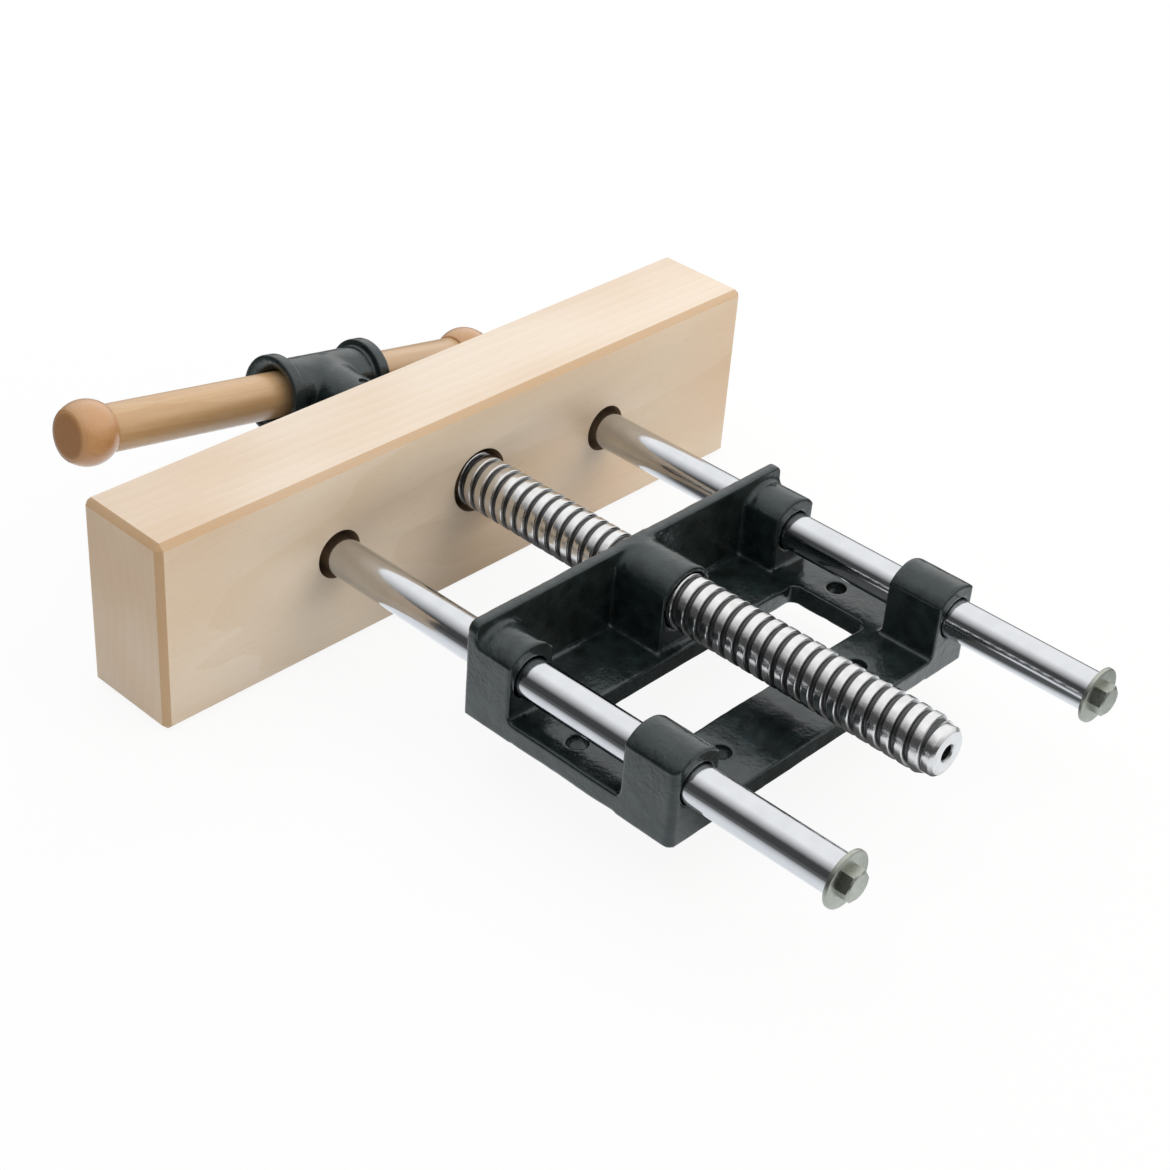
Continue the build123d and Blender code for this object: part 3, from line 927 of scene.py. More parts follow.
class Finishes:
    """Every finish of the vise, made once and kept by the record's slot."""

    def __init__(self, grain_tilt: float) -> None:
        """Makes the materials.

        Args:
            grain_tilt: The handle's angle above level, in radians, which its grain follows.
        """
        # Planed and oiled: pale and even, with a soft sheen and warmer chamfers
        planed = Beech(
            name="planed_beech", pale="#E6D7C4", tan="#D9C1A0", blush="#D3B28E", fleck="#B79467",
            edge="#B78B53", grain_turn=0.0, pith=(0.0, 420.0, -20.0), ring=6.5, ring_share=0.3,
            streak_share=0.22, fleck_share=0.12, roughness=0.46, coat=0.3,
        )
        # Turned and varnished: deeper and glossier, with the grain along the bar
        varnished = Beech(
            name="varnished_beech", pale="#CCAA80", tan="#BA9161", blush="#C2986A", fleck="#9A6E44",
            edge="#BF9563", grain_turn=grain_tilt, pith=(0.0, 330.0, 30.0), ring=5.0, ring_share=0.4,
            streak_share=0.4, fleck_share=0.2, roughness=0.34, coat=0.6,
        )
        # Turned and dipped in varnish: redder and glossier than the bar, with dark end grain
        dipped = Beech(
            name="varnished_knob_beech", pale="#C59564", tan="#B4824F", blush="#B78152", fleck="#8A5C34",
            edge="#93602F", grain_turn=grain_tilt, pith=(0.0, 345.0, 20.0), ring=5.0, ring_share=0.25,
            streak_share=0.4, fleck_share=0.15, roughness=0.3, coat=0.8,
        )
        # Brushed-on gloss over sand-cast iron: wet black with slate highlights
        enamel = GlossEnamel("gloss_black_enamel", "#151A19", "#222B2B")
        # Ground bar under chrome: a mirror with the faintest grinding rings
        chrome = BrightMetal(
            name="hard_chrome", base="#C8CACD", shade="#BBBDC1", roughness=(0.08, 0.15),
            mark=(30.0, 0.6, 30.0), mark_depth=0.002, wave=9.0, wave_depth=0.01,
        )
        # Cut on a lathe and polished: bright, with tool rings and dark oil in the roots
        steel = BrightMetal(
            name="turned_steel", base="#D6D6D6", shade="#BDBCBB", roughness=(0.12, 0.28),
            mark=(14.0, 0.25, 14.0), mark_depth=0.01, wave=4.5, wave_depth=0.35,
        )
        # Bright zinc: slightly green, with a cloudy grain
        zinc = BrightMetal(
            name="bright_zinc", base="#A9ACA3", shade="#8C9086", roughness=(0.3, 0.46),
            mark=(2.0, 2.0, 2.0), mark_depth=0.02, wave=9.0, wave_depth=0.06,
        )
        # Blackened steel: charcoal with a dull shine
        oxide = BrightMetal(
            name="black_oxide", base="#3A3A3B", shade="#2A2A2C", roughness=(0.34, 0.46),
            mark=(1.5, 1.5, 1.5), mark_depth=0.02, wave=9.0, wave_depth=0.05,
        )
        finishes = {
            "jaw_wood": planed, "handle_wood": varnished, "knob_wood": dipped, "black_enamel": enamel,
            "rod_chrome": chrome, "screw_steel": steel, "zinc_plate": zinc, "black_oxide": oxide,
        }
        self.by_slot = {slot: finish.material() for slot, finish in finishes.items()}

    def dress(self, piece: bpy.types.Object, node: str) -> None:
        """Gives a piece its node's finish and body, and lets it stand for the node.

        Args:
            piece: The piece.
            node: The node that it replaces.
        """
        slot = SLOT_OF[node]
        piece.data.materials.clear()
        piece.data.materials.append(self.by_slot[slot])
        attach(piece, BODY_OF[node])
        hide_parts(node)
        LOG.info("%s: %d faces, %s on %s", piece.name, len(piece.data.polygons), slot, BODY_OF[node])

    def paint(self, node: str) -> None:
        """Gives a node that keeps its own shape its finish.

        Args:
            node: The node.
        """
        mesh = frame["nodes"][node].data
        mesh.materials.clear()
        mesh.materials.append(self.by_slot[SLOT_OF[node]])
        smooth(frame["nodes"][node], 30.0)
        LOG.info("%s: kept, %s", node, SLOT_OF[node])


@dataclass
class JawBlock:
    """The wooden jaw: the node's block with its arrises taken off and its chamfers told from its faces.

    The shares say how dark the end grain, the chamfers along the grain and those across it are.
    """

    arris: float = 0.5
    arris_degrees: float = 25.0
    flat_degrees: float = 0.5
    widest_bore: float = 18.0
    along_bore: float = 0.5
    end_share: float = 0.27
    long_share: float = 0.7
    across_share: float = 0.88

    def build(self, finishes: Finishes) -> None:
        """Copies the block, joins its flat faces, marks chamfers, end grain and bores, and eases every edge.

        Args:
            finishes: The vise's finishes.
        """
        piece = merged_copy("jaw_block", "wood_jaw")
        work = bmesh.new()
        work.from_mesh(piece.data)
        flat = math.radians(self.flat_degrees)
        bmesh.ops.dissolve_limit(work, angle_limit=flat, verts=work.verts, edges=work.edges)
        edge, bore = work.faces.layers.float.new("edge"), work.faces.layers.float.new("bore")
        screw, rod = middle_of("lead_screw"), middle_of("guide_rod_right")
        for face in work.faces:
            x, _, z = np.array(face.calc_center_median()) / MM
            to_axis = min(math.hypot(x - screw[0], z - screw[2]), math.hypot(abs(x) - rod[0], z - rod[2]))
            # Bore walls are marked for the wood's painted shade
            face[bore] = float(to_axis < self.widest_bore and abs(face.normal.y) < self.along_bore)
            face[edge] = 0.0 if face[bore] else self.end_grain(face.normal)
        work.to_mesh(piece.data)
        work.free()
        bevel = piece.modifiers.new("arris", "BEVEL")
        bevel.width = self.arris * MM
        bevel.segments = 2
        bevel.limit_method = "ANGLE"
        bevel.angle_limit = math.radians(self.arris_degrees)
        apply_modifiers(piece)
        smooth(piece, 30.0)
        finishes.dress(piece, "wood_jaw")

    def end_grain(self, normal: Sequence[float]) -> float:
        """Says how much end grain a flat face shows, from the way it points.

        Args:
            normal: The face's normal; a chamfer's has two parts of much the same size.

        Returns:
            The share of the darker colour, 0 on the sides.
        """
        level, leaning, square = 0.3, 0.4, 0.9
        along_grain = abs(normal[0])
        if sum(abs(part) > leaning for part in normal) > 1:
            return self.long_share if along_grain < level else self.across_share
        return self.end_share if along_grain > square else 0.0


@dataclass
class RearBracket:
    """The rear bracket, one iron casting: base frame, front wall, four rod bosses and the nut boss."""

    base: float = 10.5
    wall: float = 6.0
    wall_corner: float = 5.0
    base_corner: float = 4.0
    window_corner: float = 4.0
    front_strip: float = 41.0
    rear_strip: float = 38.4
    web_half: float = 13.5
    boss_radius: float = 17.0
    front_boss: float = 27.0
    rear_boss: float = 30.0
    nut_radius: float = 17.5
    nut_length: float = 36.5
    nut_half: float = 15.5
    rod_bore: float = 9.85
    nut_bore: float = 13.95
    bolt_radius: float = 4.5
    bolt_x: float = 47.2
    bolt_front_y: float = -45.0
    fillet: float = 2.8
    edge: float = 1.5
    mouth: float = 0.8
    mesh_cell: float = 0.95
    sand: Sand = Sand(13.0, 0.16, 4.0, 0.07, 11)

    def distance(self, points: np.ndarray) -> np.ndarray:
        """Gives each point's distance outside the casting.

        The base is its plan less the window, and the wall, the arched bosses and the nut boss are joined to
        it with fillets. The whole is kept within its outer box, because flush faces would swell there, and is
        bored last.

        Args:
            points: One row for each point, in millimetres.

        Returns:
            One distance for each point.
        """
        x, y, z = points.T
        low, high = reach_of("rear_bracket")
        rod, screw = middle_of("guide_rod_right"), middle_of("lead_screw")
        side = np.abs(x)
        half_width = high[0]
        front, rear, top = low[1], high[1], high[2]
        middle_y = (front + rear) / 2.0

        # The rear corners are round, and the front ones square under the wall
        outline = rounded_rectangle(x, y - middle_y, half_width, (rear - front) / 2.0, self.base_corner)
        outline = np.where(y > middle_y, outline, np.maximum(side - half_width, front - y))
        window_front, window_rear = front + self.front_strip, rear - self.rear_strip
        deep = (window_rear - window_front) / 2.0
        wide = rod[0] - self.web_half
        window = rounded_rectangle(x, y - window_front - deep, wide, deep, self.window_corner)
        base = common(cut(outline, window, self.edge), slab(z, 0.0, self.base), self.edge)
        face = rounded_rectangle(x, z - top / 2.0, half_width, top / 2.0, self.wall_corner)
        wall = common(face, slab(y, front, front + self.wall), self.edge)
        solid = join(base, wall, self.fillet)
        rod_arch = arch(side - rod[0], z, self.web_half, rod[2], self.boss_radius)
        nut_arch = arch(x, z, self.nut_half, screw[2], self.nut_radius)
        bosses = (
            (rod_arch, front, front + self.front_boss),
            (rod_arch, rear - self.rear_boss, rear),
            (nut_arch, front, front + self.nut_length),
        )
        for boss, start, end in bosses:
            solid = join(solid, common(boss, slab(y, start, end), self.edge), self.fillet)

        # Only the upper half is held within the wall's round corners
        far_inside = -1000.0
        box = np.maximum(outline, slab(z, 0.0, top))
        solid = np.maximum(solid, np.maximum(box, np.where(z > top / 2.0, face, far_inside)))
        bores = (
            np.hypot(side - rod[0], z - rod[2]) - self.rod_bore,
            np.hypot(x, z - screw[2]) - self.nut_bore,
            np.hypot(side - self.bolt_x, y) - self.bolt_radius,
            np.hypot(side - rod[0], y - self.bolt_front_y) - self.bolt_radius,
        )
        for bore in bores:
            solid = cut(solid, bore, self.mouth)
        return solid

    def build(self, finishes: Finishes) -> None:
        """Casts the bracket."""
        casting = sand_cast("bracket_casting", "rear_bracket", self.distance, self.mesh_cell, self.sand)
        finishes.dress(casting, "rear_bracket")


@dataclass
class FrontPlate:
    """The front plate, a casting with two rod bosses, the journal boss and a rib along its middle."""

    thickness: float = 8.0
    end_radius: float = 24.0
    middle_radius: float = 28.0
    boss_radius: float = 18.0
    boss_root: float = 1.0
    draft: float = 3.0
    journal_boss_radius: float = 20.0
    journal_boss: float = 16.0
    rib_half: float = 3.5
    rib_height: float = 13.0
    rib_sag: float = 5.0
    rod_bore: float = 9.6
    journal_bore: float = 10.1
    pin_bore: float = 3.05
    screw_x: float = 50.0
    screw_z: float = 13.0
    screw_head: float = 5.8
    fillet: float = 3.0
    edge: float = 1.6
    mouth: float = 0.8
    pin_mouth: float = 0.6
    sink_mouth: float = 0.4
    mesh_cell: float = 0.95
    sand: Sand = Sand(12.0, 0.1, 4.0, 0.05, 23)

    def distance(self, points: np.ndarray) -> np.ndarray:
        """Gives each point's distance outside the casting.

        The plate is a belt round three discs. The bosses taper with the draft, the rib's edge sags as a
        parabola between them, and the bores and the screws' countersinks are cut last.

        Args:
            points: One row for each point, in millimetres.

        Returns:
            One distance for each point.
        """
        x, y, z = points.T
        low, high = reach_of("front_plate")
        rod, screw = middle_of("guide_rod_right"), middle_of("lead_screw")
        side, depth = np.abs(x), high[1] - y
        boss_end = high[1] - low[1]

        left, right = (-rod[0], rod[2], self.end_radius), (rod[0], rod[2], self.end_radius)
        middle = (0.0, screw[2], self.middle_radius)
        belt = np.minimum(tapered_bar(x, z, left, middle), tapered_bar(x, z, middle, right))
        belt = np.minimum(belt, tapered_bar(x, z, left, right))
        solid = common(belt, slab(depth, 0.0, self.thickness), self.edge)

        from_rod = np.hypot(side - rod[0], z - rod[2])
        from_screw = np.hypot(x, z - screw[2])
        cone = from_rod - self.boss_radius + (depth - self.thickness) * math.tan(math.radians(self.draft))
        solid = join(solid, common(cone, slab(depth, self.boss_root, boss_end), self.edge), self.fillet)
        journal_end = slab(depth, self.boss_root, self.thickness + self.journal_boss)
        journal = common(from_screw - self.journal_boss_radius, journal_end, self.edge)
        solid = join(solid, journal, self.fillet)

        rib_middle = (self.journal_boss_radius / 2.0 + rod[0]) / 2.0
        across = (side - rib_middle) / (rod[0] - rib_middle)
        rib_edge = self.thickness + self.rib_height - self.rib_sag * (1.0 - across**2)
        rib = common(np.abs(z - (rod[2] + screw[2]) / 2.0) - self.rib_half, depth - rib_edge, self.edge)
        rib = np.maximum(np.maximum(rib, side - rod[0]), self.boss_root - depth)
        solid = common(join(solid, rib, self.fillet), -depth, self.mouth)

        solid = cut(solid, from_rod - self.rod_bore, self.mouth)
        solid = cut(solid, from_screw - self.journal_bore, self.mouth)
        pin_depth = (self.thickness + boss_end) / 2.0
        solid = cut(solid, np.hypot(side - rod[0], depth - pin_depth) - self.pin_bore, self.pin_mouth)
        from_jaw_screw = np.hypot(side - self.screw_x, np.abs(z - screw[2]) - self.screw_z)
        sink = np.maximum(self.pin_bore, self.screw_head - (self.thickness - depth))
        return cut(solid, from_jaw_screw - sink, self.sink_mouth)

    def build(self, finishes: Finishes) -> None:
        """Casts the plate."""
        casting = sand_cast("front_plate_casting", "front_plate", self.distance, self.mesh_cell, self.sand)
        finishes.dress(casting, "front_plate")


@dataclass
class Handle:
    """The handle's line, its cast hub, its bar and its two ball knobs."""

    tube_radius: float = 17.0
    collar_radius: float = 20.6
    collar_width: float = 7.0
    collar_fillet: float = 2.0
    half_length: float = 32.5
    neck_radius: float = 16.3
    bore_radius: float = 12.1
    mouth_depth: float = 7.0
    bell_radius: float = 9.8
    bell_lean_sine: float = 0.1942
    bell_margin: float = 0.05
    journal_radius: float = 10.05
    journal_floor: float = 14.55
    crease: float = 2.4
    edge: float = 1.4
    mouth: float = 0.5
    mesh_cell: float = 0.62
    sand: Sand = Sand(10.0, 0.06, 3.5, 0.03, 37)
    pin_bore: float = 2.55
    pin_mouth: float = 0.6
    pin_radius: float = 2.5
    pin_recess: float = 1.0
    pin_ease: float = 0.3
    bar_radius: float = 11.7
    bar_ease: float = 0.5
    tenon_radius: float = 6.0
    tenon_length: float = 11.0
    tenon_ease: float = 0.4
    tenon_gap: float = 0.05
    knob_radius: float = 16.0
    knob_face: float = 12.5
    knob_rim: float = 0.8
    knob_end: float = 11.5
    end_ease: float = 6.0
    end_blend: float = 1.6

    def __post_init__(self) -> None:
        """Finds the line of the handle: from where it crosses the screw's axis to the middle of the bar."""
        screw, bar = middle_of("lead_screw"), middle_of("handle_bar")
        hub = np.array((screw[0], bar[1], screw[2]))
        self.offset = float(np.linalg.norm(bar - hub))
        self.line = Line(tuple(hub), tuple((bar - hub) / self.offset), (0.0, 1.0, 0.0))
        self.neck = Line(tuple(hub))
        self.tilt = math.atan2(self.line.direction[2], self.line.direction[0])

    def pin_line(self) -> Line:
        """Returns the line of the hub's cross pin: square to the handle and to the screw."""
        square = (-math.sin(self.tilt), 0.0, math.cos(self.tilt))
        return Line(tuple(middle_of("hub_pin")), square, (0.0, 1.0, 0.0))

    def hub_distance(self, points: np.ndarray) -> np.ndarray:
        """Gives each point's distance outside the hub.

        Tube and neck meet in a soft crease, and a collar rises at each end of the tube. The bore opens by an
        arc whose centre lies outside the rim, so its radius grows as that of a trumpet's bell.

        Args:
            points: One row for each point, in millimetres.

        Returns:
            One distance for each point.
        """
        along, radius = self.line.measure(points)
        ahead, from_screw = self.neck.measure(points)
        station = np.abs(along)
        thrust = reach_of("thrust_washer")[0][1] - self.neck.origin[1]
        tube = common(radius - self.tube_radius, station - self.half_length, self.edge)
        neck = common(from_screw - self.neck_radius, slab(ahead, 0.0, thrust), self.edge)
        collar_start = self.half_length - self.collar_width
        rim = slab(station, collar_start, self.half_length)
        collar = common(radius - self.collar_radius, rim, self.edge)
        solid = join(join(tube, neck, self.crease), collar, self.collar_fillet)
        solid = np.maximum(solid, station - self.half_length)

        bell_start = self.half_length - self.mouth_depth
        lean = math.asin(self.bell_lean_sine)
        centre_along = bell_start - self.bell_radius * math.sin(lean)
        centre_radius = self.bore_radius + self.bell_radius * math.cos(lean)
        reach = np.clip(station - centre_along, 0.0, self.bell_radius - self.bell_margin)
        bell = centre_radius - np.sqrt(self.bell_radius**2 - reach**2)
        bore = radius - np.where(station > bell_start, bell, self.bore_radius)
        solid = cut(solid, bore, self.mouth)
        seat = np.maximum(from_screw - self.journal_radius, self.journal_floor - ahead)
        solid = cut(solid, seat, self.mouth)
        pin_along, from_pin = self.pin_line().measure(points)
        pin = np.maximum(from_pin - self.pin_bore, np.abs(pin_along) - 2.0 * self.neck_radius)
        return cut(solid, pin, self.pin_mouth)

    def build_hub(self, finishes: Finishes) -> None:
        """Casts the hub and turns its pin, whose ends are a little domed.

        Args:
            finishes: The vise's finishes.
        """
        hub = sand_cast("hub_casting", "handle_hub", self.hub_distance, self.mesh_cell, self.sand)
        finishes.dress(hub, "handle_hub")
        radius, reach, ease = self.pin_radius, self.neck_radius - self.pin_recess, self.pin_ease
        dome = both_ends([(radius, reach - 0.5), (radius - 0.3, reach - 0.15), (0.0, reach)])
        outline = rounded(dome, [0, ease, ease, ease, ease, 0])
        pin = turned("hub_cross_pin", self.pin_line(), outline, segments=48)
        # The whole pin takes the groove's dark colour
        mark(pin.data, "groove", np.ones(len(pin.data.vertices)))
        smooth(pin)
        finishes.dress(pin, "hub_pin")

    def build_bar(self, finishes: Finishes) -> None:
        """Turns the bar with a tenon at each end, and a ball knob over each tenon.

        Args:
            finishes: The vise's finishes.
        """
        half_span = (self.knob_middle(Side.RIGHT) - self.knob_middle(Side.LEFT)) / 2.0
        face = math.sqrt(self.knob_radius**2 - self.knob_face**2)
        shoulder = half_span - face
        tip = shoulder + self.tenon_length
        origin = np.array(self.line.origin) + self.offset * np.array(self.line.direction)
        middle = Line(tuple(origin), self.line.direction, self.line.zero)
        thick, thin = self.bar_radius, self.tenon_radius
        half = [(thick, shoulder), (thin, shoulder), (thin, tip), (0.0, tip)]
        eases = [self.bar_ease, 0.0, self.tenon_ease, 0.0]
        bar = turned("handle_dowel", middle, rounded(both_ends(half), eases[::-1] + eases, 3))
        smooth(bar)
        finishes.dress(bar, "handle_bar")
        for side in Side:
            finishes.dress(self.knob(side, middle, half_span, face), side.node("handle_knob"))

    def knob_middle(self, side: Side) -> float:
        """Finds the middle of a ball from its box, which ends at its flat end's rim.

        Args:
            side: Which end of the bar the ball sits on.

        Returns:
            Where it lies along the handle's line.
        """
        low, high = reach_of(side.node("handle_knob"))
        outer = high[0] if side is Side.RIGHT else low[0]
        run, rise = self.line.direction[0], abs(self.line.direction[2])
        end = math.sqrt(self.knob_radius**2 - self.knob_end**2)
        return (outer - self.line.origin[0] - side.value * self.knob_end * rise) / run - side.value * end

    def knob(self, side: Side, middle: Line, half_span: float, face: float) -> bpy.types.Object:
        """Turns one ball knob.

        Its outline is a circle between the rims of its inner face, which has the tenon's hole, and its flat
        end. The end shows end grain, which the varnish darkens.

        Args:
            side: Which end of the bar it sits on.
            middle: The handle's line from the middle of the bar.
            half_span: From the bar's middle to the ball's centre.
            face: From the ball's centre back to its flat face.

        Returns:
            The knob.
        """
        inner, outer = math.atan2(self.knob_face, -face), math.asin(self.knob_end / self.knob_radius)
        sweep = np.linspace(inner, outer, 40)
        circle = (self.knob_radius * np.sin(sweep), half_span + self.knob_radius * np.cos(sweep))
        ball = np.stack(circle, axis=1)
        trim, end = 3, ball[-1, 1]
        hole, shoulder = self.tenon_radius + self.tenon_gap, half_span - face
        floor = shoulder + self.tenon_length + self.tenon_gap
        turn = rounded([tuple(ball[-trim]), (self.knob_end, end), (0.0, end)], [0, self.end_ease, 0], 6)
        flat = [(hole, shoulder), (self.knob_face, shoulder), tuple(ball[trim])]
        rim = rounded(flat, [0, self.knob_rim, 0])
        outline = np.concatenate([[(0.0, floor), (hole, floor)], rim, ball[trim + 1 : -trim], turn])
        outline[:, 1] *= side.value
        piece = turned(side.node("ball_knob"), middle, outline)
        along, radius = middle.measure(coordinates(piece.data))
        end_grain = np.clip((np.abs(along) - end) / self.end_blend + 1.0, 0.0, 1.0) * (radius < self.knob_end)
        mark(piece.data, "edge", end_grain)
        smooth(piece, 50.0)
        return piece


@dataclass
class GuideRods:
    """The two chromed bars, with a washer and a bolt on each free end and a pin in each front end."""

    radius: float = 9.5
    chamfer: float = 1.2
    centre_hole: float = 2.2
    centre_bore: float = 0.99
    centre_depth: Pair = (3.2, 3.4)
    centre_cone: float = 1.98
    washer_radius: float = 13.25
    washer_bore: float = 4.3
    washer_thickness: float = 2.0
    head_flats: float = 13.0
    head_height: float = 5.5
    crown: float = 0.8
    bolt_radius: float = 4.0
    bolt_length: float = 22.0
    bolt_point: float = 0.8
    pin_radius: float = 3.0
    pin_chamfer: float = 0.6
    ease: float = 0.3
    hole_ease: float = 0.2
    washer_eases: tuple[float, ...] = (0.25, 0.7, 0.2, 0.2)
    head_eases: tuple[float, ...] = (0.25, 0.5, 0.35)

    def hexagon(self, angle: np.ndarray) -> np.ndarray:
        """Largest radius at an angle: half the flats over the cosine from the nearest flat's middle."""
        sixth = TURN / 6.0
        return self.head_flats / 2.0 / np.cos(np.mod(angle, sixth) - sixth / 2.0)

    def build(self, finishes: Finishes) -> None:
        """Turns both rods and what their ends carry.

        Args:
            finishes: The vise's finishes.
        """
        for side in Side:
            low, high = reach_of(side.node("guide_rod"))
            middle = middle_of(side.node("guide_rod"))
            self.build_rod(finishes, side, Line((middle[0], low[1], middle[2])), high[1] - low[1])
            self.build_end(finishes, side, Line((middle[0], high[1], middle[2])))
            self.build_pin(finishes, side)

    def build_rod(self, finishes: Finishes, side: Side, axis: Line, length: float) -> None:
        """Turns one bar, chamfered at both ends, with the lathe's centre hole in its front end.

        Args:
            finishes: The vise's finishes.
            side: Which side the bar is on.
            axis: Its line, from its front end.
            length: Its length, in millimetres.
        """
        hole, bore, radius, step = self.centre_hole, self.centre_bore, self.radius, self.chamfer
        wall, point = self.centre_depth
        corners = [(0, point), (bore, wall), (bore, self.centre_cone), (hole, 0), (radius - step, 0),
                   (radius, step), (radius, length - step), (radius - step, length), (0, length)]
        ease = self.ease
        outline = rounded(corners, [0, 0, 0, self.hole_ease, ease, ease, ease, ease, 0], 3)
        rod = turned(side.node("chrome_rod"), axis, outline, segments=128)
        smooth(rod, 25.0)
        finishes.dress(rod, side.node("guide_rod"))

    def build_end(self, finishes: Finishes, side: Side, axis: Line) -> None:
        """Turns the washer, punched with one rounded and one sharp rim, and the bolt with its crowned head.

        Args:
            finishes: The vise's finishes.
            side: Which side the rod is on.
            axis: The rod's line, from its free end.
        """
        thick = self.washer_thickness
        ring = washer_outline(self.washer_bore, self.washer_radius, thick, self.washer_eases)
        washer = turned(side.node("end_washer"), axis, ring)
        smooth(washer)
        finishes.dress(washer, side.node("rod_washer"))
        shank, corner = self.bolt_radius, self.head_flats / math.sqrt(3.0)
        tip, top = thick - self.bolt_length, thick + self.head_height
        outline = rounded(
            [(0, tip), (shank - self.bolt_point, tip), (shank, tip + self.bolt_point), (shank, thick),
             (corner, thick), (corner, top - self.crown), (corner - 2.0 * self.crown, top), (0, top)],
            [0, 0, 0, 0, *self.head_eases, 0], 4,
        )
        bolt = turned(side.node("hexagon_bolt"), axis, outline, segments=144, limit=self.hexagon)
        smooth(bolt, 28.0)
        finishes.dress(bolt, side.node("rod_bolt"))

    def build_pin(self, finishes: Finishes, side: Side) -> None:
        """Turns the cross pin that locks the rod in the front plate, with chamfered ends.

        Args:
            finishes: The vise's finishes.
            side: Which side the rod is on.
        """
        low, high = reach_of(side.node("rod_pin"))
        half = (high[2] - low[2]) / 2.0
        radius, step, ease = self.pin_radius, self.pin_chamfer, self.ease
        corners = both_ends([(radius, half - step), (radius - step, half), (0.0, half)])
        outline = rounded(corners, [0, ease, ease, ease, ease, 0], 3)
        axis = Line(tuple(middle_of(side.node("rod_pin"))), (0.0, 0.0, 1.0))
        pin = turned(side.node("cross_pin"), axis, outline, segments=48)
        smooth(pin, 28.0)
        finishes.dress(pin, side.node("rod_pin"))


@dataclass
class LeadScrew:
    """The lead screw: one right-hand thread from the journal's shoulder to the turned free end."""

    pitch: float = 7.2
    crest_radius: float = 13.65
    root_radius: float = 11.6
    half_crest: float = 2.1
    flank_lean: float = 0.45
    crest_corner: float = 0.4
    end_radius: float = 11.7
    end_length: float = 5.5
    end_chamfer: float = 1.5
    journal_radius: float = 10.0
    journal_chamfer: float = 1.0
    shoulder_from_front: float = 60.95
    centre_hole: float = 3.6
    centre_bevel: float = 0.9
    centre_depth: float = 9.0
    run_in: float = 1.2
    fade: float = 5.0
    fade_floor: float = 0.35
    # How dark the oil and painted shade make the roots and the centre hole
    oil_and_shade: float = 0.9
    darkening_fall: float = 1.3
    ease: float = 0.3
    free_eases: tuple[float, ...] = (0.35, 0.4, 0.4, 0.25)
    columns: int = 96
    merge: float = 1e-6

    def profile(self) -> np.ndarray:
        """Draws the thread over one pitch.

        The crest takes a little over half of the pitch, its corners are rounded and its flanks lean slightly.

        Returns:
            Rows of place along the pitch and share of the thread's depth, from root to crest and back.
        """
        edge, lean, corner = self.pitch / 2.0 - self.half_crest, self.flank_lean, self.crest_corner
        # A fillet at the root, the straight flank, and three steps of the crest's round corner
        rise = [(edge - lean - 0.25, 0.0), (edge - lean, 0.07), (edge - 0.06, 0.84),
                (edge + 0.3 * corner, 0.955), (edge + corner, 0.995), (edge + 2.2 * corner, 1.0)]
        fall = [(self.pitch - place, share) for place, share in reversed(rise)]
        return np.array([(0.0, 0.0)] + rise + fall)

    def thread(self, start: float, end: float, profile: np.ndarray) -> np.ndarray:
        """Works out the thread's points.

        A row of points follows one place of the profile round the screw, so at angle a it lies the pitch
        times a over a full turn further on. Rows past an end of the thread gather on that end's circle. The
        depth fades out over the last few millimetres, and oil with painted shade lies in the root and thins
        out up the flanks.

        Args:
            start: Where the thread starts along the screw.
            end: Where it ends.
            profile: The thread's profile.

        Returns:
            Place along the screw, radius and oil with painted shade, for each row and column of points.
        """
        turns = int((end - start) / self.pitch) + 2
        whole = np.arange(-1, turns)[:, None] * self.pitch + start
        row = (whole + profile[None, :, 0]).ravel()
        lead = self.pitch * np.linspace(0.0, TURN, self.columns, endpoint=False) / TURN
        along = np.clip(row[:, None] + lead[None, :], start, end)
        phase = np.mod(along - start - lead[None, :], self.pitch)
        depth = np.interp(phase, np.append(profile[:, 0], self.pitch), np.append(profile[:, 1], 0.0))
        fading = np.minimum((along - start) / self.run_in, (end - along) / self.fade + self.fade_floor)
        height = depth * np.clip(fading, 0.0, 1.0)
        radius = self.root_radius + (self.crest_radius - self.root_radius) * height
        # Oil and painted shade: darkest in the root, thinning up the flanks
        oil_and_shade = self.oil_and_shade * np.clip(1.0 - self.darkening_fall * depth, 0.0, 1.0)
        return np.stack([along, radius, oil_and_shade], axis=-1)

    def thread_faces(self, rows: int, places: int) -> np.ndarray:
        """Works out the thread's faces: the last column joins the first one a whole pitch further on.

        Args:
            rows: How many rows of points the thread has.
            places: How many rows make one pitch.

        Returns:
            One row of four point numbers for each face.
        """
        step, column = np.meshgrid(np.arange(rows - 1), np.arange(self.columns), indexing="ij")
        first_ahead = (step + places) * self.columns
        here = step * self.columns + column
        beside = np.where(column == self.columns - 1, first_ahead, here + 1)
        faces = np.stack([here, beside, beside + self.columns, here + self.columns], axis=-1).reshape(-1, 4)
        return faces[faces.max(axis=1) < rows * self.columns]

    def rings(self, outline: np.ndarray, darkened: np.ndarray) -> np.ndarray:
        """Carries an outline's rows round the screw.

        Args:
            outline: Rows of radius and distance along the screw.
            darkened: Whether each row takes the oil and painted shade.

        Returns:
            Place along the screw, radius and oil with painted shade, for each row and column of points.
        """
        rows = np.stack([outline[:, 1], outline[:, 0], self.oil_and_shade * darkened], axis=-1)
        return np.repeat(rows[:, None, :], self.columns, axis=1)

    def journal(self, front: float, start: float) -> np.ndarray:
        """Draws the journal, from its chamfered front end to the thread.

        Args:
            front: Where the journal ends.
            start: Where the thread starts.

        Returns:
            The journal's rings of points.
        """
        radius, step = self.journal_radius, self.journal_chamfer
        corners = [(self.root_radius, start), (radius, start), (radius, front + step), (radius - step, front),
                   (0, front)]
        outline = rounded(corners, [0, 0, self.ease, self.ease, 0], 3)[:0:-1]
        return self.rings(outline, np.zeros(len(outline)))

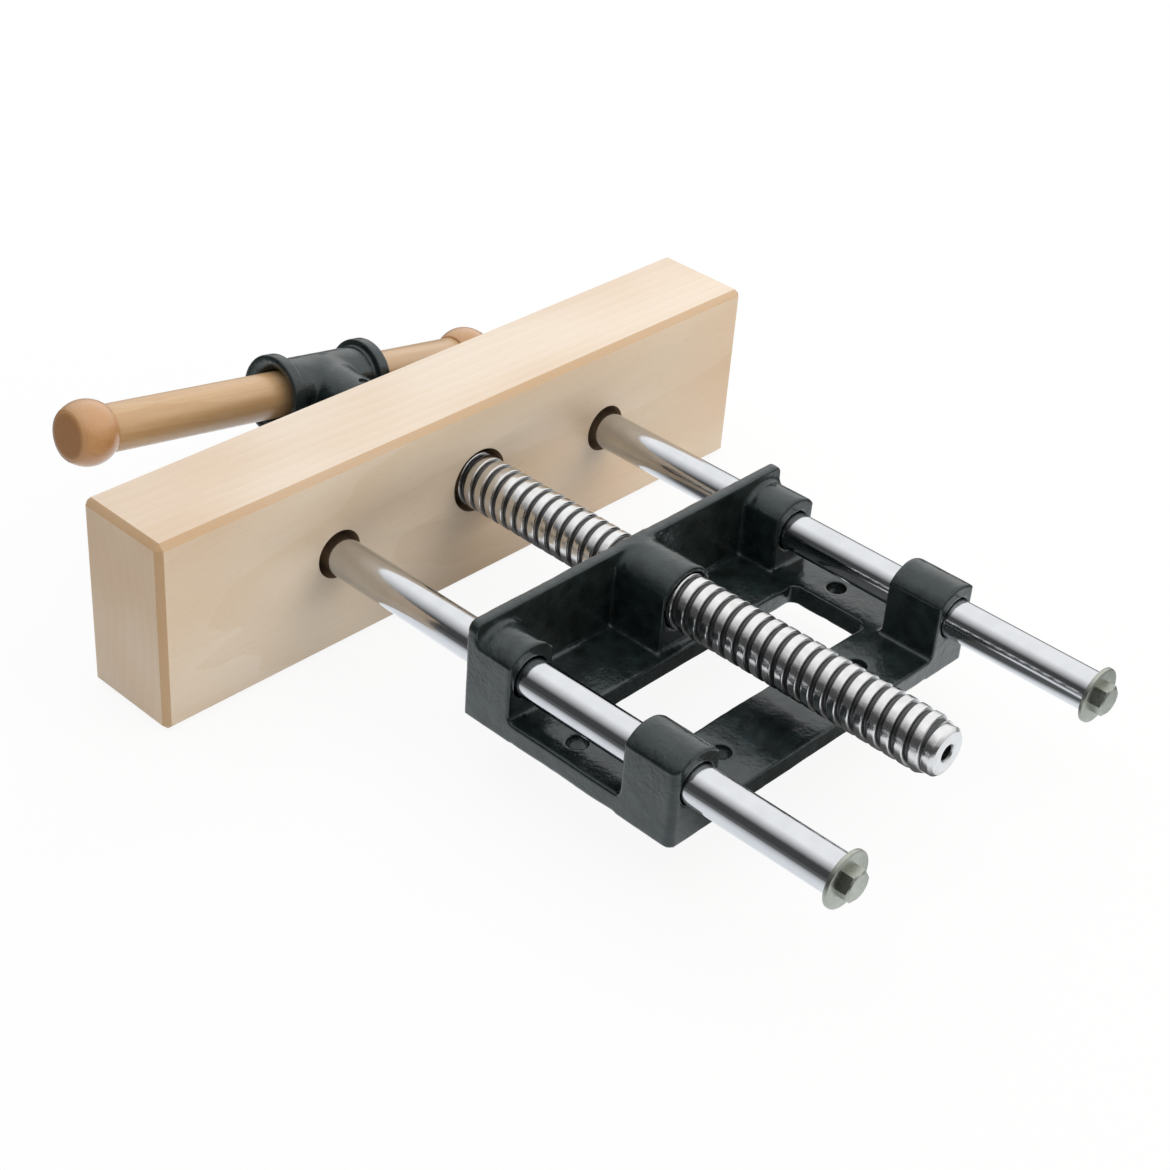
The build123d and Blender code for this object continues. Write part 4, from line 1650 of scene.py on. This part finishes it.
    def free_end(self, end: float, rear: float) -> np.ndarray:
        """Draws the turned free end with its bevelled centre hole, darkened inside as painted shade.

        Args:
            end: Where the thread ends.
            rear: Where the free end ends.

        Returns:
            The free end's rings of points.
        """
        tip, step, hole, bevel = self.end_radius, self.end_chamfer, self.centre_hole, self.centre_bevel
        floor = rear - self.centre_depth
        corners = [(self.root_radius, end), (tip, end), (tip, rear - step), (tip - step, rear),
                   (hole + bevel, rear), (hole, rear - bevel), (hole, floor + hole), (0, floor)]
        outline = rounded(corners, [0, *self.free_eases, 0, 0, 0], 3)[1:]
        in_hole = (outline[:, 0] <= hole) & (outline[:, 1] > end)
        return self.rings(outline, in_hole)

    def build(self, finishes: Finishes) -> None:
        """Cuts the whole screw as one tube of points: the journal's rings, the thread and the free end's.

        Args:
            finishes: The vise's finishes.
        """
        low, high = reach_of("lead_screw")
        middle = middle_of("lead_screw")
        start, end = low[1] + self.shoulder_from_front, high[1] - self.end_length
        profile = self.profile()
        journal, free_end = self.journal(low[1], start), self.free_end(end, high[1])
        thread = self.thread(start, end, profile)
        along, radius, oil_and_shade = np.moveaxis(np.concatenate([journal, thread, free_end]), -1, 0)
        axis = Line((middle[0], 0.0, middle[2]), (0.0, 1.0, 0.0), (0.0, 0.0, 1.0))
        angle = np.linspace(0.0, TURN, self.columns, endpoint=False)
        points = axis.place(along, radius, np.broadcast_to(angle, radius.shape)).reshape(-1, 3)
        first, last = len(journal), len(journal) + len(thread) - 1
        faces = np.concatenate([
            sheet_faces(first + 1, self.columns),
            self.thread_faces(len(thread), len(profile)) + first * self.columns,
            sheet_faces(len(free_end) + 1, self.columns) + last * self.columns,
        ])
        piece = mesh_object("screw_thread", points, faces, oil_and_shade.ravel(), self.merge)
        smooth(piece, 40.0)
        finishes.dress(piece, "lead_screw")


@dataclass
class JawFasteners:
    """The slotted wood screws, the thrust washer and the collar with its set screw."""

    head_radius: float = 5.75
    shank_radius: float = 3.0
    length: float = 45.0
    point: float = 7.0
    slot: Triple = (12.0, 1.3, 2.4)
    slot_turns: tuple[float, ...] = (0.35, 1.2, 2.1, 2.75)
    washer_radius: float = 18.0
    washer_bore: float = 10.1
    washer_thickness: float = 3.0
    washer_eases: tuple[float, ...] = (0.3, 0.5, 0.5, 0.3)
    screw_eases: tuple[float, ...] = (0.25, 1.0, 0.5)

    def build(self, finishes: Finishes) -> None:
        """Makes the four screws and the washer, and paints the pieces that keep their own shape.

        Args:
            finishes: The vise's finishes.
        """
        for number, turn in enumerate(self.slot_turns, start=1):
            self.build_screw(finishes, f"jaw_screw_{number}", turn)
        self.build_washer(finishes)
        finishes.paint("retaining_collar")
        finishes.paint("collar_set_screw")

    def build_screw(self, finishes: Finishes, node: str, turn: float) -> None:
        """Turns a countersunk wood screw and saws its slot.

        Args:
            finishes: The vise's finishes.
            node: The screw's node.
            turn: The slot's angle, in radians.
        """
        low, middle = reach_of(node)[0], middle_of(node)
        axis = Line((middle[0], low[1], middle[2]))
        head, shank = self.head_radius, self.shank_radius
        corners = [(0, 0), (head, 0), (shank, head - shank), (shank, self.length - self.point),
                   (0, self.length)]
        outline = rounded(corners, [0, *self.screw_eases, 0], 3)
        screw = turned(f"slotted_{node}", axis, outline, segments=64)
        cut_slot(screw, axis, self.slot, turn)
        smooth(screw, 28.0)
        finishes.dress(screw, node)

    def build_washer(self, finishes: Finishes) -> None:
        """Turns the thrust washer with eased rims.

        Args:
            finishes: The vise's finishes.
        """
        low, middle = reach_of("thrust_washer")[0], middle_of("thrust_washer")
        ring = washer_outline(self.washer_bore, self.washer_radius, self.washer_thickness, self.washer_eases)
        washer = turned("thrust_ring", Line((middle[0], low[1], middle[2])), ring)
        smooth(washer)
        finishes.dress(washer, "thrust_washer")


def facing(ahead: np.ndarray, roll: float, place: Triple) -> Matrix:
    """Works out the matrix of something that stands at a place and looks ahead.

    Right is ahead crossed with up, and both turn about the view by the roll.

    Args:
        ahead: The unit vector it looks along.
        roll: Its turn about that vector, in radians.
        place: Where it stands, in metres.

    Returns:
        The matrix, with its own -Z ahead.
    """
    right = np.cross(ahead, (0.0, 0.0, 1.0))
    right /= np.linalg.norm(right)
    above = np.cross(right, ahead)
    turned_right = math.cos(roll) * right + math.sin(roll) * above
    turned_above = -math.sin(roll) * right + math.cos(roll) * above
    matrix = np.eye(4)
    matrix[:3] = np.stack([turned_right, turned_above, -ahead, np.array(place)], axis=1)
    return Matrix(matrix.tolist())


@dataclass(frozen=True)
class Softbox:
    """One square lamp: its place, aim and size in metres, its power in watts and its colour."""

    name: str
    place: Triple
    aim: Triple
    size: float
    power: float
    colour: str

    def hang(self) -> None:
        """Hangs the lamp and aims it; bright metal mirrors the room's own light instead of the lamp."""
        lamp = bpy.data.lights.new(self.name, "AREA")
        lamp.size = self.size
        lamp.energy = self.power
        lamp.color = linear(self.colour)[:3]
        holder = in_scene(self.name, lamp)
        holder.visible_glossy = False
        ahead = np.array(self.aim) - np.array(self.place)
        holder.matrix_world = facing(ahead / np.linalg.norm(ahead), 0.0, self.place)


@dataclass
class Studio:
    """Pale floor, soft light from above and behind, a white surround and the camera.

    Places are in metres and angles in degrees. A light's pair of values runs from its start to its end.
    """

    camera_place: Triple = (0.6495, 0.4431, 0.5993)
    azimuth: float = 131.22
    elevation: float = 34.34
    roll: float = 4.64
    lens: float = 68.2
    sensor: float = 36.0
    nearest: float = 0.05
    floor_half: float = 4.0
    paper: str = "#F4F4F2"
    paper_glow: float = 0.9
    paper_mirrored: float = 0.9
    # Grey glow of the painted shade and pool of light that metal mirrors in the floor, then their sizes
    painted_pool_grey: str = "#DADDE0"
    shade_half: Pair = (0.075, 0.17)
    shade_middle: float = -0.06
    shade_rim: Pair = (0.85, 1.2)
    shade_light: Pair = (0.06, 1.0)
    pool_rim: Pair = (1.9, 4.0)
    pool_light: Pair = (1.65, 0.1)
    surround: float = 0.63
    surround_colour: str = "#F6F8FB"
    room_side: Triple = (-0.6, 0.0, 1.0)
    room_rise: Pair = (0.0, 0.85)
    room_light: Pair = (0.08, 1.38)
    softboxes: tuple[Softbox, ...] = (
        Softbox("overhead_softbox", (-0.1, -0.35, 1.35), (0.0, -0.1, 0.0), 1.9, 10.0, "#EFF4FF"),
        Softbox("back_softbox", (-1.0, -0.95, 0.75), (0.0, -0.12, 0.05), 1.0, 4.0, "#FBFCFF"),
        Softbox("front_softbox", (-0.8, 1.1, 1.1), (0.0, -0.15, 0.0), 1.5, 11.0, "#FFEAC6"),
    )

    def build(self) -> None:
        """Sets up the floor, the surround, the lamps and the camera."""
        self.build_floor()
        self.build_surround()
        for softbox in self.softboxes:
            softbox.hang()
        self.build_camera()
        bpy.context.scene.view_settings.view_transform = "Standard"

    def build_floor(self) -> None:
        """Lays the floor under the jaw.

        It glows white to the eye and keeps part of its shading for the shadow. Mirrored in the metal, it
        glows with a painted shade and a painted pool of light, standing in for a lit table in a room: dim in
        the oval of painted shade under the vise, bright round that, and dim again further off, by the
        distance from the oval's middle counted in its half widths.
        """
        level = reach_of("wood_jaw")[0][2]
        half = self.floor_half / MM
        corners = [(-half, -half, level), (half, -half, level), (half, half, level), (-half, half, level)]
        floor = mesh_object("floor", np.array(corners), np.array([(0, 1, 2, 3)]))
        material = bpy.data.materials.new("white_paper_sweep")
        tree = emptied(material)
        matt = add(tree, "BsdfDiffuse", {"Color": linear(self.paper)}).outputs[0]
        white = add(tree, "Emission", {"Color": WHITE, "Strength": 1.0}).outputs[0]
        path = add(tree, "LightPath")

        # Painted shade and painted pool of light, for glossy rays only: dim oval under the vise, bright ring,
        # dim beyond
        wide, deep = self.shade_half
        place = add(tree, "TexCoord").outputs["Object"]
        oval = (place, (1.0 / wide, 1.0 / deep, 0.0), (0.0, -self.shade_middle / deep, 0.0))
        place = add(tree, "VectorMath", oval, operation="MULTIPLY_ADD").outputs[0]
        away = add(tree, "VectorMath", (place,), operation="LENGTH").outputs["Value"]
        clear = add(tree, "MapRange", (away, *self.shade_rim, *self.shade_light)).outputs[0]
        near = add(tree, "MapRange", (away, *self.pool_rim, *self.pool_light)).outputs[0]
        lit = add(tree, "Math", (clear, near), operation="MULTIPLY").outputs[0]
        painted_shade_and_pool = add(tree, "Emission", {"Color": linear(self.painted_pool_grey), "Strength": lit}).outputs[0]

        to_eye, in_metal = path.outputs["Is Camera Ray"], path.outputs["Is Glossy Ray"]
        glow = add(tree, "Math", (to_eye, self.paper_glow), operation="MULTIPLY").outputs[0]
        seen = add(tree, "MixShader", (glow, matt, white)).outputs[0]
        mirrored = add(tree, "Math", (in_metal, self.paper_mirrored), operation="MULTIPLY").outputs[0]
        seen = add(tree, "MixShader", (mirrored, seen, painted_shade_and_pool)).outputs[0]
        add(tree, "OutputMaterial", {"Surface": seen})
        floor.data.materials.append(material)
        floor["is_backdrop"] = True

    def build_surround(self) -> None:
        """Makes the world white to the eye and dimmer as a light.

        What the metal mirrors is a room lit from above and behind: its light is a straight ramp of the ray's
        height less a share of its reach to the right, so one side of a bar mirrors the lit sweep and the
        other the dim room.
        """
        world = bpy.data.worlds.new("white_room")
        bpy.context.scene.world = world
        tree = emptied(world)
        tint = linear(self.surround_colour)
        dim = add(tree, "Background", {"Color": tint, "Strength": self.surround}).outputs[0]
        white = add(tree, "Background", {"Color": WHITE, "Strength": 1.0}).outputs[0]
        ray = add(tree, "TexCoord").outputs["Generated"]
        height = add(tree, "VectorMath", (ray, self.room_side), operation="DOT_PRODUCT").outputs["Value"]
        lit = add(tree, "MapRange", (height, *self.room_rise, *self.room_light)).outputs[0]
        room = add(tree, "Background", {"Color": WHITE, "Strength": lit}).outputs[0]
        path = add(tree, "LightPath")
        seen = add(tree, "MixShader", (path.outputs["Is Glossy Ray"], dim, room)).outputs[0]
        straight = (path.outputs["Is Camera Ray"], path.outputs["Is Transmission Ray"])
        direct = add(tree, "Math", straight, operation="MAXIMUM").outputs[0]
        seen = add(tree, "MixShader", (direct, seen, white)).outputs[0]
        add(tree, "OutputWorld", {"Surface": seen})

    def build_camera(self) -> None:
        """Stands the camera where the photograph was taken from.

        It looks along the vector that its azimuth turns from +Y and its elevation lowers.
        """
        azimuth, elevation = math.radians(self.azimuth), math.radians(self.elevation)
        level = math.cos(elevation)
        ahead = np.array((-math.sin(azimuth) * level, math.cos(azimuth) * level, -math.sin(elevation)))
        camera = bpy.data.cameras.new("view")
        camera.lens = self.lens
        camera.sensor_width = self.sensor
        camera.clip_start = self.nearest
        holder = in_scene("view", camera)
        holder.matrix_world = facing(ahead, math.radians(self.roll), self.camera_place)
        bpy.context.scene.camera = holder


def main() -> None:
    """Builds the vise piece by piece, then the studio."""
    logging.basicConfig(level=logging.INFO, format="%(message)s")
    handle = Handle()
    finishes = Finishes(handle.tilt)
    for assembly in (JawBlock(), RearBracket(), FrontPlate(), GuideRods(), LeadScrew(), JawFasteners()):
        assembly.build(finishes)
    handle.build_hub(finishes)
    handle.build_bar(finishes)
    Studio().build()
    bpy.context.view_layer.update()
    visual_box = [list(corner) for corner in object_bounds()]
    for name, box in (("cad", CAD_BOX), ("visual", visual_box)):
        LOG.info("%s box in millimetres: %s", name, np.round(np.array(box) / MM, 2).tolist())


if __name__ == "__main__":
    main()
